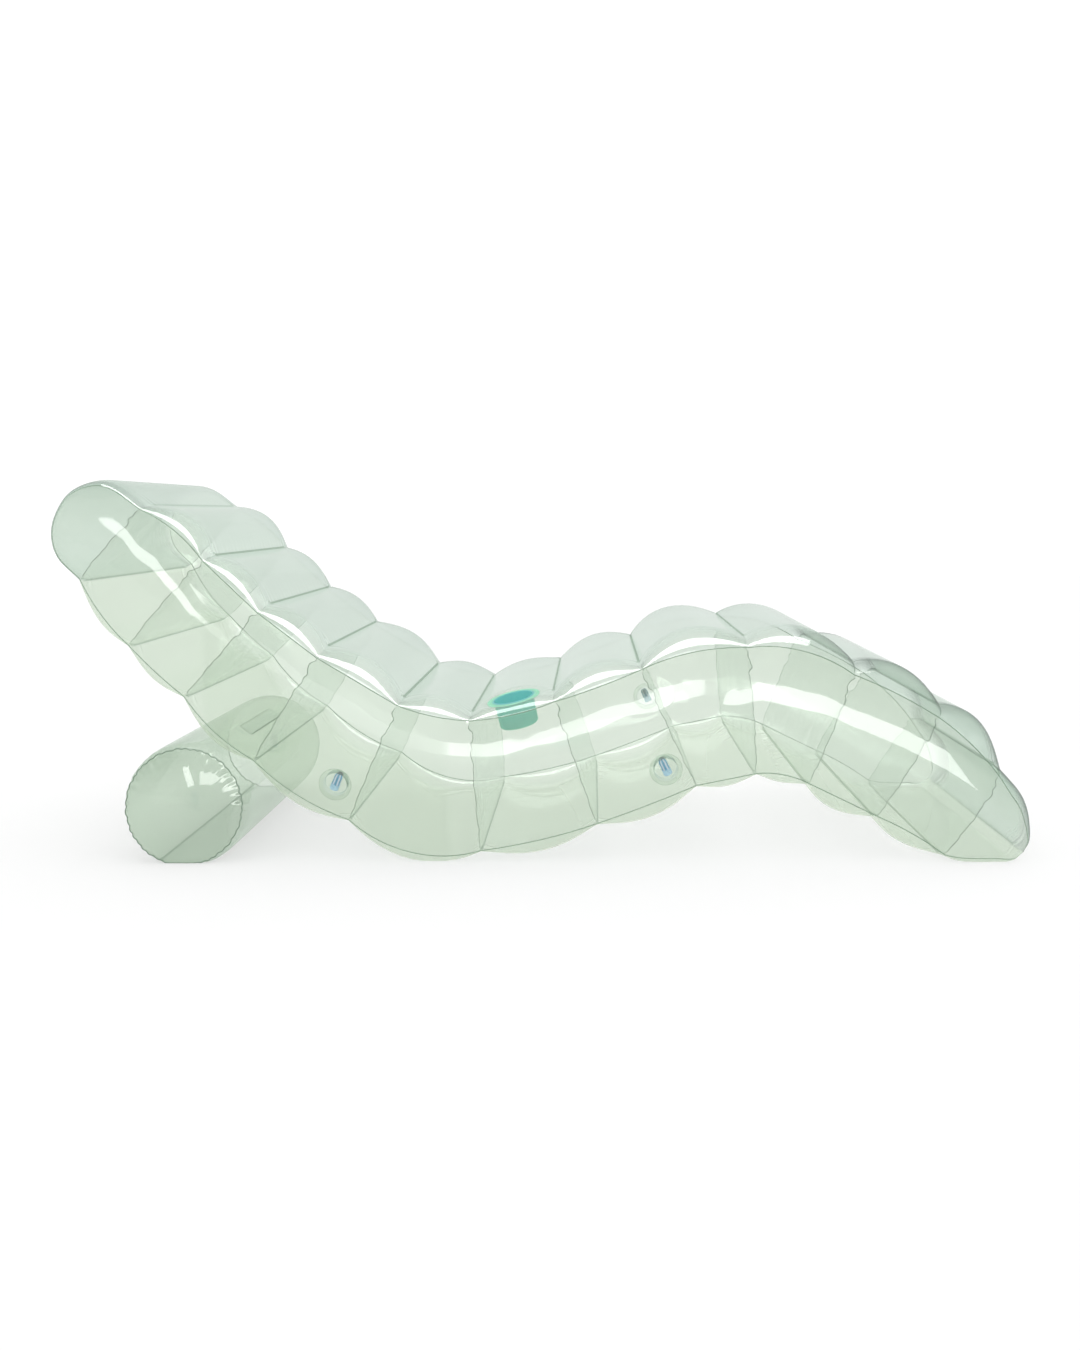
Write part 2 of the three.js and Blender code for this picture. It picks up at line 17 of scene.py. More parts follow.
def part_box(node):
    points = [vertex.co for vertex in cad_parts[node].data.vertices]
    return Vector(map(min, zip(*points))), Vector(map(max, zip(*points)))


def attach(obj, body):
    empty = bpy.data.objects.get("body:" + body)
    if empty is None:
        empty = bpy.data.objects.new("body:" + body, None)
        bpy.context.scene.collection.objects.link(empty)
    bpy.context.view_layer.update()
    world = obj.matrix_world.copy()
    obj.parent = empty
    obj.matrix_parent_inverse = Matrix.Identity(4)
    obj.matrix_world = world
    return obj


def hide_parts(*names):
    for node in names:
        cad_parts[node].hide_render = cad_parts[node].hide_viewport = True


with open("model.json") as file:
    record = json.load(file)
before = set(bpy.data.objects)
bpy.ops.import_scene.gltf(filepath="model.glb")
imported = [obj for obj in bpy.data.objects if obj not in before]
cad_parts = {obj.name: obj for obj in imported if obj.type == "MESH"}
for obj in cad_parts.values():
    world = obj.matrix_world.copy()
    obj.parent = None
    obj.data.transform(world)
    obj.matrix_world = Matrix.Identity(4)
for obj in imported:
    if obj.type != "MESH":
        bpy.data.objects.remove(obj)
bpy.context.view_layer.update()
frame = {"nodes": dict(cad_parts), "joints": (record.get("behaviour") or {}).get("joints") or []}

bl_info = {
    "name": "Inflatable pool lounger",
    "version": (1, 0, 0),
    "blender": (4, 5, 0),
    "location": "View3D > Sidebar > Pool lounger",
    "description": "Builds the films, welds, cup holder and valves of a clear inflatable lounger",
    "category": "Add Mesh",
}

MM = 0.001
BODY = "lounger"
ORIGIN = np.array([-977.58, 0.09, 0.0])  # where the head end of the profile lies in the frame

# The mattress, as the CAD part gives it
PROFILE_LENGTH = 1952.0
PROFILE_HEIGHT = 756.0
HALF_WIDTH = 425.0
ROLL = 85.0
SIDE_BULGE = 0.09
TOP_SEAM = np.array([
    [0.09, 0.937], [0.154, 0.801], [0.21, 0.664], [0.271, 0.544], [0.354, 0.417], [0.428, 0.377],
    [0.515, 0.428], [0.604, 0.513], [0.713, 0.571], [0.822, 0.499], [0.91, 0.384], [0.972, 0.227],
])
BOTTOM_SEAM = np.array([
    [0.028, 0.751], [0.078, 0.576], [0.135, 0.44], [0.206, 0.272], [0.304, 0.114], [0.439, 0.032],
    [0.558, 0.103], [0.66, 0.204], [0.722, 0.236], [0.776, 0.209], [0.846, 0.122], [0.915, 0.02],
])
TOP_BOWS = [0.068, 0, 0, 0, -0.04, -0.04, -0.016, 0.06, 0.096, 0.026, 0.041]
BOTTOM_BOWS = [0.05, 0.02, 0.06, 0.058, 0.13, 0.025, 0.01, 0, -0.07, 0, -0.03]
TOP_CROWNS = [0.2, 0.24, 0.26, 0.225, 0.22, 0.205, 0.235, 0.205, 0.2, 0.27, 0.3]
BOTTOM_CROWNS = [0.15, 0.18, 0.15, 0.13, 0.1, 0.145, 0.17, 0.19, 0.23, 0.215, 0.21]
TOP_WELD_RISES = [10, 10, 16, 19, 7, 7, 13, 6, 16, 21, 22, 14]
BOTTOM_WELD_RISES = [6] * 12
HEAD_SEAM = [
    [0.059, 0.992], [0.042, 0.999], [0.018, 0.974], [0.003, 0.913], [0, 0.862], [0.006, 0.81]]
FOOT_TOP = [[0.981, 0.19], [0.992, 0.146], [0.998, 0.098], [1, 0.056]]
FOOT_TIP = [0.995, 0.029]
FOOT_UNDER = [[0.985, 0.011], [0.967, 0.011], [0.948, 0.011], [0.93, 0.013]]
TIP_TURN = -0.6 * np.pi  # from the last web's line to the way out at the foot tip
TIP_RISE = 2.0
HEAD_CROWN = 5.0
FOOT_CROWN = 16.0

# Steps of the grids
BESIDE_WELD = np.array([0, 0.7, 1.4, 2.1, 2.8, 3.6, 4.8, 6.5, 9, 12.5, 17, 23, 30])
BETWEEN_STEPS = 11
HEAD_STEPS = 56
FOOT_STEPS = 32
ROLL_STEPS = 12
ACROSS_STEP = 8.0
PANEL_STEPS = 36
FIELD_STEP = 5.0
FIELD_PASSES = 260
WEB_ACROSS, WEB_UP = 120, 64
BOLSTER_ACROSS, DISC_RINGS = 72, 32
STRAP_ACROSS, PAD_ROWS, STRAP_ROWS = 80, 30, 12

# Creases of the film: their wavelengths, and how high each is beside the others
WELD_RIPPLE = (31.0, 47.0, 19.0), (1.0, 0.7, 0.35)
BELT_PUCKERS = (17.0, 26.0), (0.6, 0.5)
PANEL_PUCKERS = (15.0, 23.0, 37.0), (0.6, 0.6, 0.5)
PANEL_SLACK = (160.0, 93.0), (0.3, 0.12)
WEB_CRINKLE = (27.0, 16.0, 61.0), (0.8, 0.5, 1.4)
WEB_WAVE = (170.0, 110.0), (0.8, 0.6)

# Welds and edges
WELD_END = 76.0  # how far inside the edge seam a top weld ends
TOP_WELD_HALF = 1.7
BOTTOM_WELD_HALF = 0.9
BOTTOM_WELD_END = 30.0
WELD_EYE = 5.0
SEAM_BAND = 16.0  # how far in from its seam a side panel is held straight
WEB_GAP = 5.5  # from a web's free edge to the side panel
FOOT_FROM = 1450.0  # where along the mattress the foot's tighter film begins
# painted shade: here the side panels' reflection is cut, so that no softbox shows in them
REFLECTION_CUT_FROM, REFLECTION_CUT_TO = 300.0, 784.0  # the part of the side panels that mirrors no softbox

# The bolster
BOLSTER_X = 0.135 * PROFILE_LENGTH
BOLSTER_RADIUS = 115.0
BOLSTER_Z = BOLSTER_RADIUS - 3.0
BOLSTER_DOME = 24.0
BOLSTER_SWELL = 10.0
BOLSTER_TURN = np.linspace(0, 2 * np.pi, 288, endpoint=False)[None]
BOLSTER_LAP = np.radians(115.4)  # the tube's own weld, below its front

# The cup holder's frame: its origin on the flange's upper face and its axis
CUP_AT = np.array([-59.458, -334.914, 320.348]) - ORIGIN
CUP_AXIS = np.array([-0.21925, -0.13917, 0.96569])

# The valves: which piece each sits in, and how far its stem lies from its recess's middle
VALVES = {
    "back_valve": "right_side_panel",
    "knee_valve_right": "right_side_panel",
    "knee_valve_left": "left_side_panel",
    "bolster_valve": "bolster_end_left",
}
STEM_FOOT = 14.0
STEM_DEPTH = 9.6
RECESS_RADIUS = 23.0
RECESS_DEPTH = 19.2

# How a film meets a disc welded in it: the radius to which it lies flat, the one where it is back
# in its own shape, its hole's, and its height over the disc's face
CUP_SEAT = 57, 88, 47, -1.5
VALVE_SEAT = 34.5, 75, 26, -1.3
BOLSTER_VALVE_SEAT = 34.5, 60, 26, -1.3


# Properties

def linear(hex_colour):
    """sRGB hex to linear RGBA."""
    value = np.array([int(hex_colour[k:k + 2], 16) for k in (1, 3, 5)]) / 255
    low, high = value / 12.92, ((value + 0.055) / 1.055) ** 2.4
    return (*np.where(value <= 0.04045, low, high), 1.0)


class LoungerFilm(bpy.types.PropertyGroup):
    """Colours of the clear vinyl and depth of its creases."""

    face: FloatVectorProperty(
        name="Film", description="What one layer of film lets through, seen square on",
        subtype="COLOR", size=3, min=0, max=1, default=linear("#ECF2EB")[:3])
    edge: FloatVectorProperty(
        name="Film edge", description="What one layer lets through, seen along its surface",
        subtype="COLOR", size=3, min=0, max=1, default=linear("#AABFAD")[:3])
    crease: FloatProperty(
        name="Crease depth", description="Depth of the creases beside a weld",
        default=0.0013, min=0, max=0.004, unit="LENGTH")


class LoungerCup(bpy.types.PropertyGroup):
    """Sizes of the cup holder."""

    radius: FloatProperty(
        name="Cup radius", description="Inner radius of the cup at its rim",
        default=0.040, min=0.03, max=0.045, unit="LENGTH")
    depth: FloatProperty(
        name="Cup depth", description="From the rim to the underside of the cup",
        default=0.058, min=0.04, max=0.07, unit="LENGTH")
    sides: IntProperty(
        name="Cup sides", description="Faces round the cup", default=96, min=24, max=256)


class LoungerStage(bpy.types.PropertyGroup):
    """Strength of the studio lights."""

    key: FloatProperty(
        name="Overhead softbox", description="Power of the softbox above the lounger",
        default=150.0, min=0, unit="POWER")
    front: FloatProperty(
        name="Front strip", description="Power of the strip light behind the camera",
        default=20.0, min=0, unit="POWER")


# Shapes

def unit(vectors):
    return vectors / norm(vectors, axis=-1, keepdims=True)


def lerp(a, b, t):
    return a + (b - a) * t


def smooth(share):
    """3s² - 2s³ of a share cut to 0…1."""
    share = np.clip(share, 0, 1)
    return share * share * (3 - 2 * share)


def arch(t):
    """4t(1 - t): 0 at both ends and 1 in the middle."""
    return 4 * t * (1 - t)


def grid_of(x, y, z):
    """Points in rows and columns from their three coordinates."""
    return np.stack(np.broadcast_arrays(x, y, z), axis=2)


def run_along(points):
    """How far along a line each of its points lies."""
    return np.concatenate([[0], np.cumsum(norm(np.diff(points, axis=0), axis=1))])


def waves(place, phase, lengths, sizes):
    """Sum of sines of the given wavelengths, each with its own phase."""
    return sum(size * np.sin(2 * np.pi * place / length + phase * (k + 1.7))
               for k, (length, size) in enumerate(zip(lengths, sizes)))


def beside(distance, grow, fade):
    """Share of a pucker at a distance from its weld: it grows from 0 and then dies out, as
    smooth(d / grow) × exp(-d / fade)."""
    return smooth(distance / grow) * np.exp(-distance / fade)


def on_profile(shares):
    """Shares of the profile's length and height, in millimetres."""
    return np.asarray(shares, float) * [PROFILE_LENGTH, PROFILE_HEIGHT]


TOP_WELDS = on_profile(TOP_SEAM)
BOTTOM_WELDS = on_profile(BOTTOM_SEAM)
WEB_UPS = unit(TOP_WELDS - BOTTOM_WELDS)


def stations(point, out, rise, near):
    """One row per cross-line of the belt: its seam point, the way out, the film's rise over the
    seam and the distance to the nearest web's weld."""
    return {"point": point, "out": out, "rise": rise, "near": near}


def joined(*parts):
    return {key: np.concatenate([part[key] for part in parts]) for key in parts[0]}


def part_of(line, rows):
    return {key: value[rows] for key, value in line.items()}


def chamber_line(welds, ups, bows, crowns, rises):
    """Between two welds the seam bows and the film arches by 4t(1 - t), where t runs from weld to
    weld, in fine steps beside both and even ones between."""
    parts = []
    for i in range(len(welds) - 1):
        reach = norm(welds[i + 1] - welds[i])
        fine = BESIDE_WELD / reach
        even = np.linspace(fine[-1], 1 - fine[-1], BETWEEN_STEPS)[1:-1]
        t = np.concatenate([fine, even, 1 - fine[:0:-1]])
        out = unit(lerp(ups[i], ups[i + 1], t[:, None]))
        bow = out * (bows[i] * reach * arch(t))[:, None]
        point = lerp(welds[i], welds[i + 1], t[:, None]) + bow
        rise = lerp(lerp(rises[i], rises[i + 1], t), crowns[i] * reach, arch(t))
        parts.append(stations(point, out, rise, reach * np.minimum(t, 1 - t)))
    last = stations(welds[-1:], ups[-1:], np.array([float(rises[-1])]), np.zeros(1))
    return joined(*parts, last)


def curve_through(points, count=1200, steps=80):
    """Centripetal Catmull-Rom curve through the points, as equal steps of arc length."""
    ends = [2 * points[0] - points[1], *points, 2 * points[-1] - points[-2]]
    t = np.linspace(0, 1, steps, endpoint=False)[:, None]
    pieces = []
    for p0, p1, p2, p3 in zip(ends, ends[1:], ends[2:], ends[3:]):
        d0, d1, d2 = [norm(b - a) ** 0.5 for a, b in ((p0, p1), (p1, p2), (p2, p3))]
        m1 = ((p1 - p0) / d0 - (p2 - p0) / (d0 + d1) + (p2 - p1) / d1) * d1
        m2 = ((p2 - p1) / d1 - (p3 - p1) / (d1 + d2) + (p3 - p2) / d2) * d1
        square = (-3 * p1 + 3 * p2 - 2 * m1 - m2) * t**2
        pieces.append(p1 + m1 * t + square + (2 * p1 - 2 * p2 + m1 + m2) * t**3)
    dense = np.concatenate([*pieces, points[-1:]])
    run = run_along(dense)
    even = np.linspace(0, run[-1], count)
    return np.stack([np.interp(even, run, dense[:, k]) for k in range(2)], axis=1), run[-1]


def end_line(start, shares, end, steps, turn, rises, crown, form):
    """Stations round an end: out is the curve's tangent turned outwards, and the rise goes evenly
    from the first one given to the second, plus crown × form(t)."""
    points, length = curve_through([start, *on_profile(shares), end])
    along = unit(np.gradient(points, axis=0))
    t = np.arange(1, steps) / steps
    at = np.round(t * (len(points) - 1)).astype(int)
    out = np.stack([-along[at, 1] * turn, along[at, 0] * turn], axis=1)
    near = length * np.minimum(t, 1 - t)
    return stations(points[at], out, lerp(*rises, t) + crown * form(t), near)


TOP_LINE = chamber_line(TOP_WELDS, WEB_UPS, TOP_BOWS, TOP_CROWNS, TOP_WELD_RISES)
BOTTOM_LINE = chamber_line(
    BOTTOM_WELDS, -WEB_UPS, BOTTOM_BOWS, BOTTOM_CROWNS, BOTTOM_WELD_RISES)
COS, SIN = np.cos(TIP_TURN), np.sin(TIP_TURN)
TIP_OUT = WEB_UPS[-1:] @ [[COS, SIN], [-SIN, COS]]
TIP = stations(on_profile([FOOT_TIP]), TIP_OUT, np.array([TIP_RISE]), np.zeros(1))
HEAD_LINE = end_line(
    TOP_WELDS[0], HEAD_SEAM, BOTTOM_WELDS[0], HEAD_STEPS, -1,
    (TOP_WELD_RISES[0], BOTTOM_WELD_RISES[0]), HEAD_CROWN, lambda t: np.sin(np.pi * t))
FOOT_TOP_LINE = end_line(
    TOP_WELDS[-1], FOOT_TOP, TIP["point"][0], FOOT_STEPS, 1,
    (TOP_WELD_RISES[-1], TIP_RISE), FOOT_CROWN, arch)
FOOT_UNDER_LINE = end_line(
    TIP["point"][0], FOOT_UNDER, BOTTOM_WELDS[-1], FOOT_STEPS, 1,
    (TIP_RISE, BOTTOM_WELD_RISES[-1]), FOOT_CROWN, arch)
BACKWARDS = slice(None, None, -1)
TOP_BELT = joined(
    TIP, part_of(FOOT_TOP_LINE, BACKWARDS), part_of(TOP_LINE, BACKWARDS), HEAD_LINE,
    part_of(BOTTOM_LINE, slice(0, 1)))
BOTTOM_BELT = joined(BOTTOM_LINE, part_of(FOOT_UNDER_LINE, BACKWARDS), TIP)

# A side panel's upper and lower edge, each from the middle of the head to the foot tip
HEAD_MIDDLE = HEAD_STEPS // 2 - 1
UPPER = joined(
    part_of(HEAD_LINE, slice(HEAD_MIDDLE, None, -1)), TOP_LINE, FOOT_TOP_LINE, TIP)["point"]
LOWER = joined(part_of(HEAD_LINE, slice(HEAD_MIDDLE, None)), BOTTOM_BELT)["point"]


def cross_section():
    """Across the belt: a quarter of an ellipse at each side, √(1 - (1 - inset/roll)²), and a
    flat middle, with fine steps where the welds end. Gives y and the share of the rise."""
    angle = np.linspace(0, np.pi / 2, ROLL_STEPS + 1)
    fine = np.arange(WELD_END - 18, WELD_END + 22, 2)
    roll = ROLL * (1 - np.cos(angle))
    middle = np.arange(fine[-1] + 4, HALF_WIDTH - 2, ACROSS_STEP)
    inset = np.concatenate([roll[roll < fine[0] - 2], fine, middle])
    share = np.sqrt(1 - (1 - np.minimum(inset / ROLL, 1)) ** 2)
    y = np.concatenate([inset - HALF_WIDTH, (HALF_WIDTH - inset)[::-1]])
    return y, np.concatenate([share, share[::-1]])


def belt_points(line, crease):
    """Point = seam point + out × (rise × share + creases). The ripples beside a weld die out over
    16 mm and are deepest near its ends, and change with each chamber, about every 170 mm."""
    y, share = cross_section()
    run = run_along(line["point"])[:, None]
    near, rise = line["near"][:, None], line["rise"][:, None]
    inset = HALF_WIDTH - np.abs(y)[None]
    ends = 0.12 + np.exp(-((inset - WELD_END) / 26) ** 2)
    ripple = waves(y[None], np.floor(run / 170) * 2.4, *WELD_RIPPLE)
    fold = ripple * beside(near, 5, 16) * ends * smooth((inset - 8) / 30) * crease
    puckers = waves(run + 0 * y[None], np.sign(y)[None], *BELT_PUCKERS)
    rim = puckers * beside(inset, 6, 12) * crease * np.clip(rise / 60, 0, 0.6)
    lift = rise * share[None] + fold + rim
    x = line["point"][:, :1] + line["out"][:, :1] * lift
    z = np.maximum(line["point"][:, 1:] + line["out"][:, 1:] * lift, 0)
    return grid_of(x, y[None], z), inset


def weld_share(line, inset, half, reach, middle, eye):
    """How dark a web's weld is: most on its two borders, exp(-((d - half)/0.9)²), less between
    them, and 0 outside. It ends some way in from the edge seam, in a small round eye."""
    near = line["near"][:, None]
    border = np.exp(-((near - half) / 0.9) ** 2)
    across = np.maximum(border, middle * (near < half))
    ring = np.exp(-((np.hypot(near, inset - reach + 2) - eye) / 1.1) ** 2) if eye else 0
    return np.maximum(across * smooth((inset - reach) / 5), 0.7 * ring)


def inside_outline(outline, x, z):
    """Which points of a grid lie in a closed outline: each crossing of a row turns its rest."""
    a, b = outline, np.roll(outline, -1, axis=0)
    crosses = (a[:, 1:] > z) != (b[:, 1:] > z)
    lean = (b[:, 0] - a[:, 0]) / (b[:, 1] - a[:, 1] + 1e-12)
    at = a[:, :1] + (z - a[:, 1:]) * lean[:, None]
    edge, row = np.nonzero(crosses)
    column = np.ceil((at[edge, row] - x[0]) / (x[1] - x[0])).astype(int).clip(0, len(x) - 1)
    turns = np.zeros((len(z), len(x)), int)
    np.add.at(turns, (row, column), 1)
    return np.cumsum(turns, axis=1) % 2 == 1


def blown_swell(pull=1.9, blur=90, blur_steps=40, least_height=120):
    """How far a side panel stands out of its flat outline. A blown film has the same curvature
    all over, so u solves ∇²u = -1 with u = 0 at the seam, found by over-relaxation on a grid, and
    the swell is 8 × bulge × u / height, which is a parabola across a long strip."""
    outline = np.concatenate([UPPER, LOWER[-2:0:-1]])
    x, z = [np.arange(-FIELD_STEP * 2, size + FIELD_STEP * 3, FIELD_STEP)
            for size in (PROFILE_LENGTH, PROFILE_HEIGHT)]
    inside = inside_outline(outline, x, z)
    u = np.zeros(inside.shape)
    odd = (np.arange(len(z))[:, None] + np.arange(len(x))) % 2 == 1
    for _ in range(FIELD_PASSES):
        for half in (inside & odd, inside & ~odd):
            around = np.roll(u, 1, 0) + np.roll(u, -1, 0) + np.roll(u, 1, 1) + np.roll(u, -1, 1)
            u += np.where(half, pull * ((around + FIELD_STEP**2) / 4 - u), 0)
    height = norm(UPPER - LOWER, axis=1)
    middle = (UPPER + LOWER)[:, 0] / 2
    order = np.argsort(middle)
    rough = np.interp(x, middle[order], height[order])
    kernel = np.exp(-(np.arange(-blur_steps, blur_steps + 1) * FIELD_STEP / blur) ** 2)
    even = np.convolve(np.pad(rough, blur_steps, mode="edge"), kernel / kernel.sum(), mode="valid")
    return x, z, 8 * SIDE_BULGE * u / np.maximum(even, least_height)


SWELL = blown_swell()


def swell_at(points):
    """The panel's swell at points of the profile, between the grid's four nearest."""
    x, z, field = SWELL
    column = (points[..., 0] - x[0]) / FIELD_STEP
    row = (points[..., 1] - z[0]) / FIELD_STEP
    i, j = np.floor(row).astype(int), np.floor(column).astype(int)
    u = column - j
    below, above = [lerp(field[k, j], field[k, j + 1], u) for k in (i, i + 1)]
    return lerp(below, above, row - i)


def panel_points(side, crease):
    """Point = lerp(lower seam, upper seam, s), moved outwards by the blown film's swell, which
    falls straight to 0 over the seam's band, with puckers that run in from the seam and a long
    slack wave. Both fade out where the panel narrows to the head and the foot."""
    s = (1 - np.cos(np.linspace(0, np.pi, PANEL_STEPS + 1)))[None] / 2
    low, high = LOWER[:, None], UPPER[:, None]
    flat = lerp(low, high, s[..., None])
    height = norm(high - low, axis=2)
    edge = np.minimum(SEAM_BAND / np.maximum(height, 1), 0.5)
    inner = swell_at(lerp(low, high, np.clip(s, edge, 1 - edge)[..., None]))
    share = np.minimum(np.minimum(s, 1 - s) / edge, 1)
    bulge = inner * share * (1.06 - 0.06 * share)
    run = run_along(UPPER)[:, None]
    inset = height * np.minimum(s, 1 - s)
    puckers = waves(run + 9 * (s > 0.5), side, *PANEL_PUCKERS)
    rim = puckers * beside(inset, 6, 14) * crease * 0.8
    slack = waves(run + 0.6 * height * s, side * 2.0, *PANEL_SLACK) * smooth(inset / 60) * 0.9
    swell = bulge + (rim + slack) * smooth((height - 120) / 150)
    return grid_of(flat[..., 0], side * (HALF_WIDTH + swell), flat[..., 1])


def web_points(i, crease):
    """A web's point is lerp(lower weld, upper weld, v) at y = u × half width. Its upper and lower
    edges follow the film over the roll, and it ripples across its own plane near its free edges.
    Gives each point's distance to the nearest edge as well."""
    height = norm(TOP_WELDS[i] - BOTTOM_WELDS[i])
    u = np.sin(np.linspace(-np.pi / 2, np.pi / 2, WEB_ACROSS + 1))[None]
    v = np.linspace(0, 1, WEB_UP + 1)[:, None]
    half = HALF_WIDTH - WEB_GAP + swell_at(lerp(BOTTOM_WELDS[i], TOP_WELDS[i], v))[:, None]
    y = u * half
    inset = np.clip(HALF_WIDTH - np.abs(y), 0, ROLL)
    share = np.sqrt(np.clip(1 - (1 - inset / ROLL) ** 2, 0, 1))
    slip = 0.4 + 3.5 * (1 - smooth(inset / 75))
    top = height + TOP_WELD_RISES[i] * share - slip
    up = lerp(slip - BOTTOM_WELD_RISES[i] * share, top, v)
    free = half - np.abs(y)
    crinkle = waves(up + 7 * i, i, *WEB_CRINKLE) * (0.3 + 0.9 * smooth((v - 0.6) / 0.3))
    wave = waves(y, i * 1.3, *WEB_WAVE) * np.sin(np.pi * v)
    ripple = np.exp(-free / 26) * crinkle * crease * 1.6 + wave
    x = BOTTOM_WELDS[i][0] + WEB_UPS[i][0] * up + WEB_UPS[i][1] * ripple
    z = BOTTOM_WELDS[i][1] + WEB_UPS[i][1] * up - WEB_UPS[i][0] * ripple
    return grid_of(x, y, z), np.minimum(free, np.minimum(v, 1 - v) * height)


def edge_loop():
    """The edge seam's closed line, from the foot tip over the top, round the head and back under,
    and the way into the panel at each point."""
    points = np.concatenate([UPPER[::-1], LOWER[1:-1]])
    down = unit(LOWER - UPPER + 1e-9)
    return points, np.concatenate([down[::-1], -down[1:-1]])


def bolster_ring(radius, y):
    """Radius(angle) round the bolster's line, flattened where it presses on the floor."""
    x = BOLSTER_X + radius * np.cos(BOLSTER_TURN)
    z = np.maximum(BOLSTER_Z + radius * np.sin(BOLSTER_TURN), 0)
    return grid_of(x, y, z)


def swept(points, aside, up, outline):
    """A closed outline carried along a line: point + aside × a + up × b for each (a, b)."""
    a, b = outline[:, 0][None, :, None], outline[:, 1][None, :, None]
    return points[:, None] + aside[:, None] * a + up[:, None] * b


def rounded_bar(width, thickness, steps=6):
    """Outline of a bar with half-round edges."""
    angle = np.linspace(-np.pi / 2, np.pi / 2, steps)
    r = thickness / 2
    right = np.stack([width / 2 - r + r * np.cos(angle), r * np.sin(angle)], axis=1)
    return np.concatenate([right, -right])


def turned_outline(outline, sides):
    """A profile of (radius, height) turned round the z axis: one row per point of the profile."""
    angle = np.linspace(0, 2 * np.pi, sides, endpoint=False)[None]
    r, z = outline[:, :1], outline[:, 1:]
    return grid_of(r * np.cos(angle), r * np.sin(angle), z)


def rounded_outline(corners, radius=0.5, steps=4):
    """The profile's corners, each rounded by a short curve (1-t)²a + 2t(1-t)b + t²c."""
    corners = np.asarray(corners, float)
    t = np.linspace(0, 1, steps)[:, None]
    out = [corners[:1]]
    for a, b, c in zip(corners, corners[1:], corners[2:]):
        start, end = [lerp(b, to, min(radius / norm(to - b), 0.45)) for to in (a, c)]
        out.append((1 - t) ** 2 * start + 2 * t * (1 - t) * b + t**2 * end)
    return np.concatenate([*out, corners[-1:]])


def seat_disc(points, at, axes, flat, far, hole, depth, reach=60):
    """Draws a film to a disc welded in it, up to reach from its face: within flat of the axis it
    lies at depth, from there to far it eases back to its own height, and points in the hole move
    to its rim."""
    local = (points - at) @ axes.T
    radius = np.hypot(local[..., 0], local[..., 1])
    close = np.abs(local[..., 2]) < reach
    share = (1 - smooth((radius - flat) / (far - flat))) * close
    local[..., 2] += (depth - local[..., 2]) * share
    inside = (radius < hole) & close
    grow = np.where(inside, hole / np.maximum(radius, 1e-6), 1)
    local[..., :2] *= grow[..., None]
    return at + local @ axes, inside


def seat_valves(points, node, seat):
    """Draws a film to each valve in it. Gives the points, and which of them the holes take."""
    gone = np.zeros(points.shape[:2], bool)
    for valve, carrier in VALVES.items():
        if carrier == node:
            points, inside = seat_disc(points, *valve_frame(valve), *seat)
            gone |= inside
    return points, gone


def axes_from(z, x):
    """Three square axes: z as given, and x as near as can be to the one given."""
    z = unit(z)
    x = unit(x - z * np.dot(x, z))
    return np.stack([x, np.cross(z, x), z])


CUP_AXES = axes_from(CUP_AXIS, np.array([1.0, 0.0, 0.0]))


def valve_frame(name):
    """A valve's middle and axes, from its stem's hinge and its plug's slide in the record."""
    joints = {joint["name"]: joint for joint in frame["joints"]}
    hinge = joints[f"{name}_stem_hinge"]
    x = unit(np.array(joints[f"{name}_plug_slide"]["axis"]))
    z = unit(np.cross(x, -np.array(hinge["axis"])))
    centre = np.array(hinge["pos_m"]) / MM - ORIGIN
    return centre + x * STEM_FOOT + z * STEM_DEPTH, axes_from(z, x)


# Meshes

SHARES = ("weld", "reflection_cut", "painted_roll_shade")  # what a finish reads from each point


def new_object(name, data):
    thing = bpy.data.objects.new(name, data)
    bpy.context.scene.collection.objects.link(thing)
    return thing


def mesh_piece(name, grids, finish, stands_for=None, body=BODY, flip=False,
               shades=True):
    """Makes one piece from grids of points in rows, each a dict with points, and where needed
    round (the columns close), loop (the rows close), gone (points whose faces go), weld, the
    share of reflection cut as painted shade, and the share of painted shade on the rolled edge."""
    points, faces, start = [], [], 0
    shares = {key: [] for key in SHARES}
    for grid in grids:
        rows, columns = grid["points"].shape[:2]
        index = np.arange(rows * columns).reshape(rows, columns)
        if grid.get("round"):
            index = np.concatenate([index, index[:, :1]], axis=1)
        if grid.get("loop"):
            index = np.concatenate([index, index[:1]], axis=0)
        corners = index[:-1, :-1], index[1:, :-1], index[1:, 1:], index[:-1, 1:]
        quads = np.stack(corners, axis=2).reshape(-1, 4)
        if "gone" in grid:
            quads = quads[~grid["gone"].ravel()[quads].all(axis=1)]
        points.append(grid["points"].reshape(-1, 3))
        faces.append(quads + start)
        for key, values in shares.items():
            values.append(np.broadcast_to(grid.get(key, 0.0), (rows, columns)).ravel())
        start += rows * columns
    used, faces = np.unique(np.concatenate(faces), return_inverse=True)
    faces = faces.reshape(-1, 4)
    mesh = bpy.data.meshes.new(name)
    mesh.from_pydata(
        (np.concatenate(points)[used] + ORIGIN) * MM, [], faces[:, ::-1] if flip else faces)
    for key, values in shares.items():
        layer = mesh.attributes.new(key, "FLOAT", "POINT")
        layer.data.foreach_set("value", np.concatenate(values)[used].astype(np.float32))
    built = bmesh.new()
    built.from_mesh(mesh)
    bmesh.ops.remove_doubles(built, verts=built.verts, dist=1e-6)
    built.to_mesh(mesh)
    built.free()
    mesh.shade_smooth()
    mesh.materials.append(finish_named(finish))
    piece = new_object(name, mesh)
    piece.visible_shadow = shades
    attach(piece, body)
    if stands_for:
        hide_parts(stands_for)


# Materials

WHITE = linear("#FFFFFF")
# the dark line's colour also gives, faintly, the painted shade on a valve recess's floor
WELD_LINE = linear("#95AA99")  # a welded or cut edge of the film, seen as a dark line
MIRRORED = 0.075, 0.5  # what both faces of a film mirror together, seen square on and along it
COLOUR = {"data_type": "RGBA"}
A, B = 6, 7  # the colour sockets of a Mix node


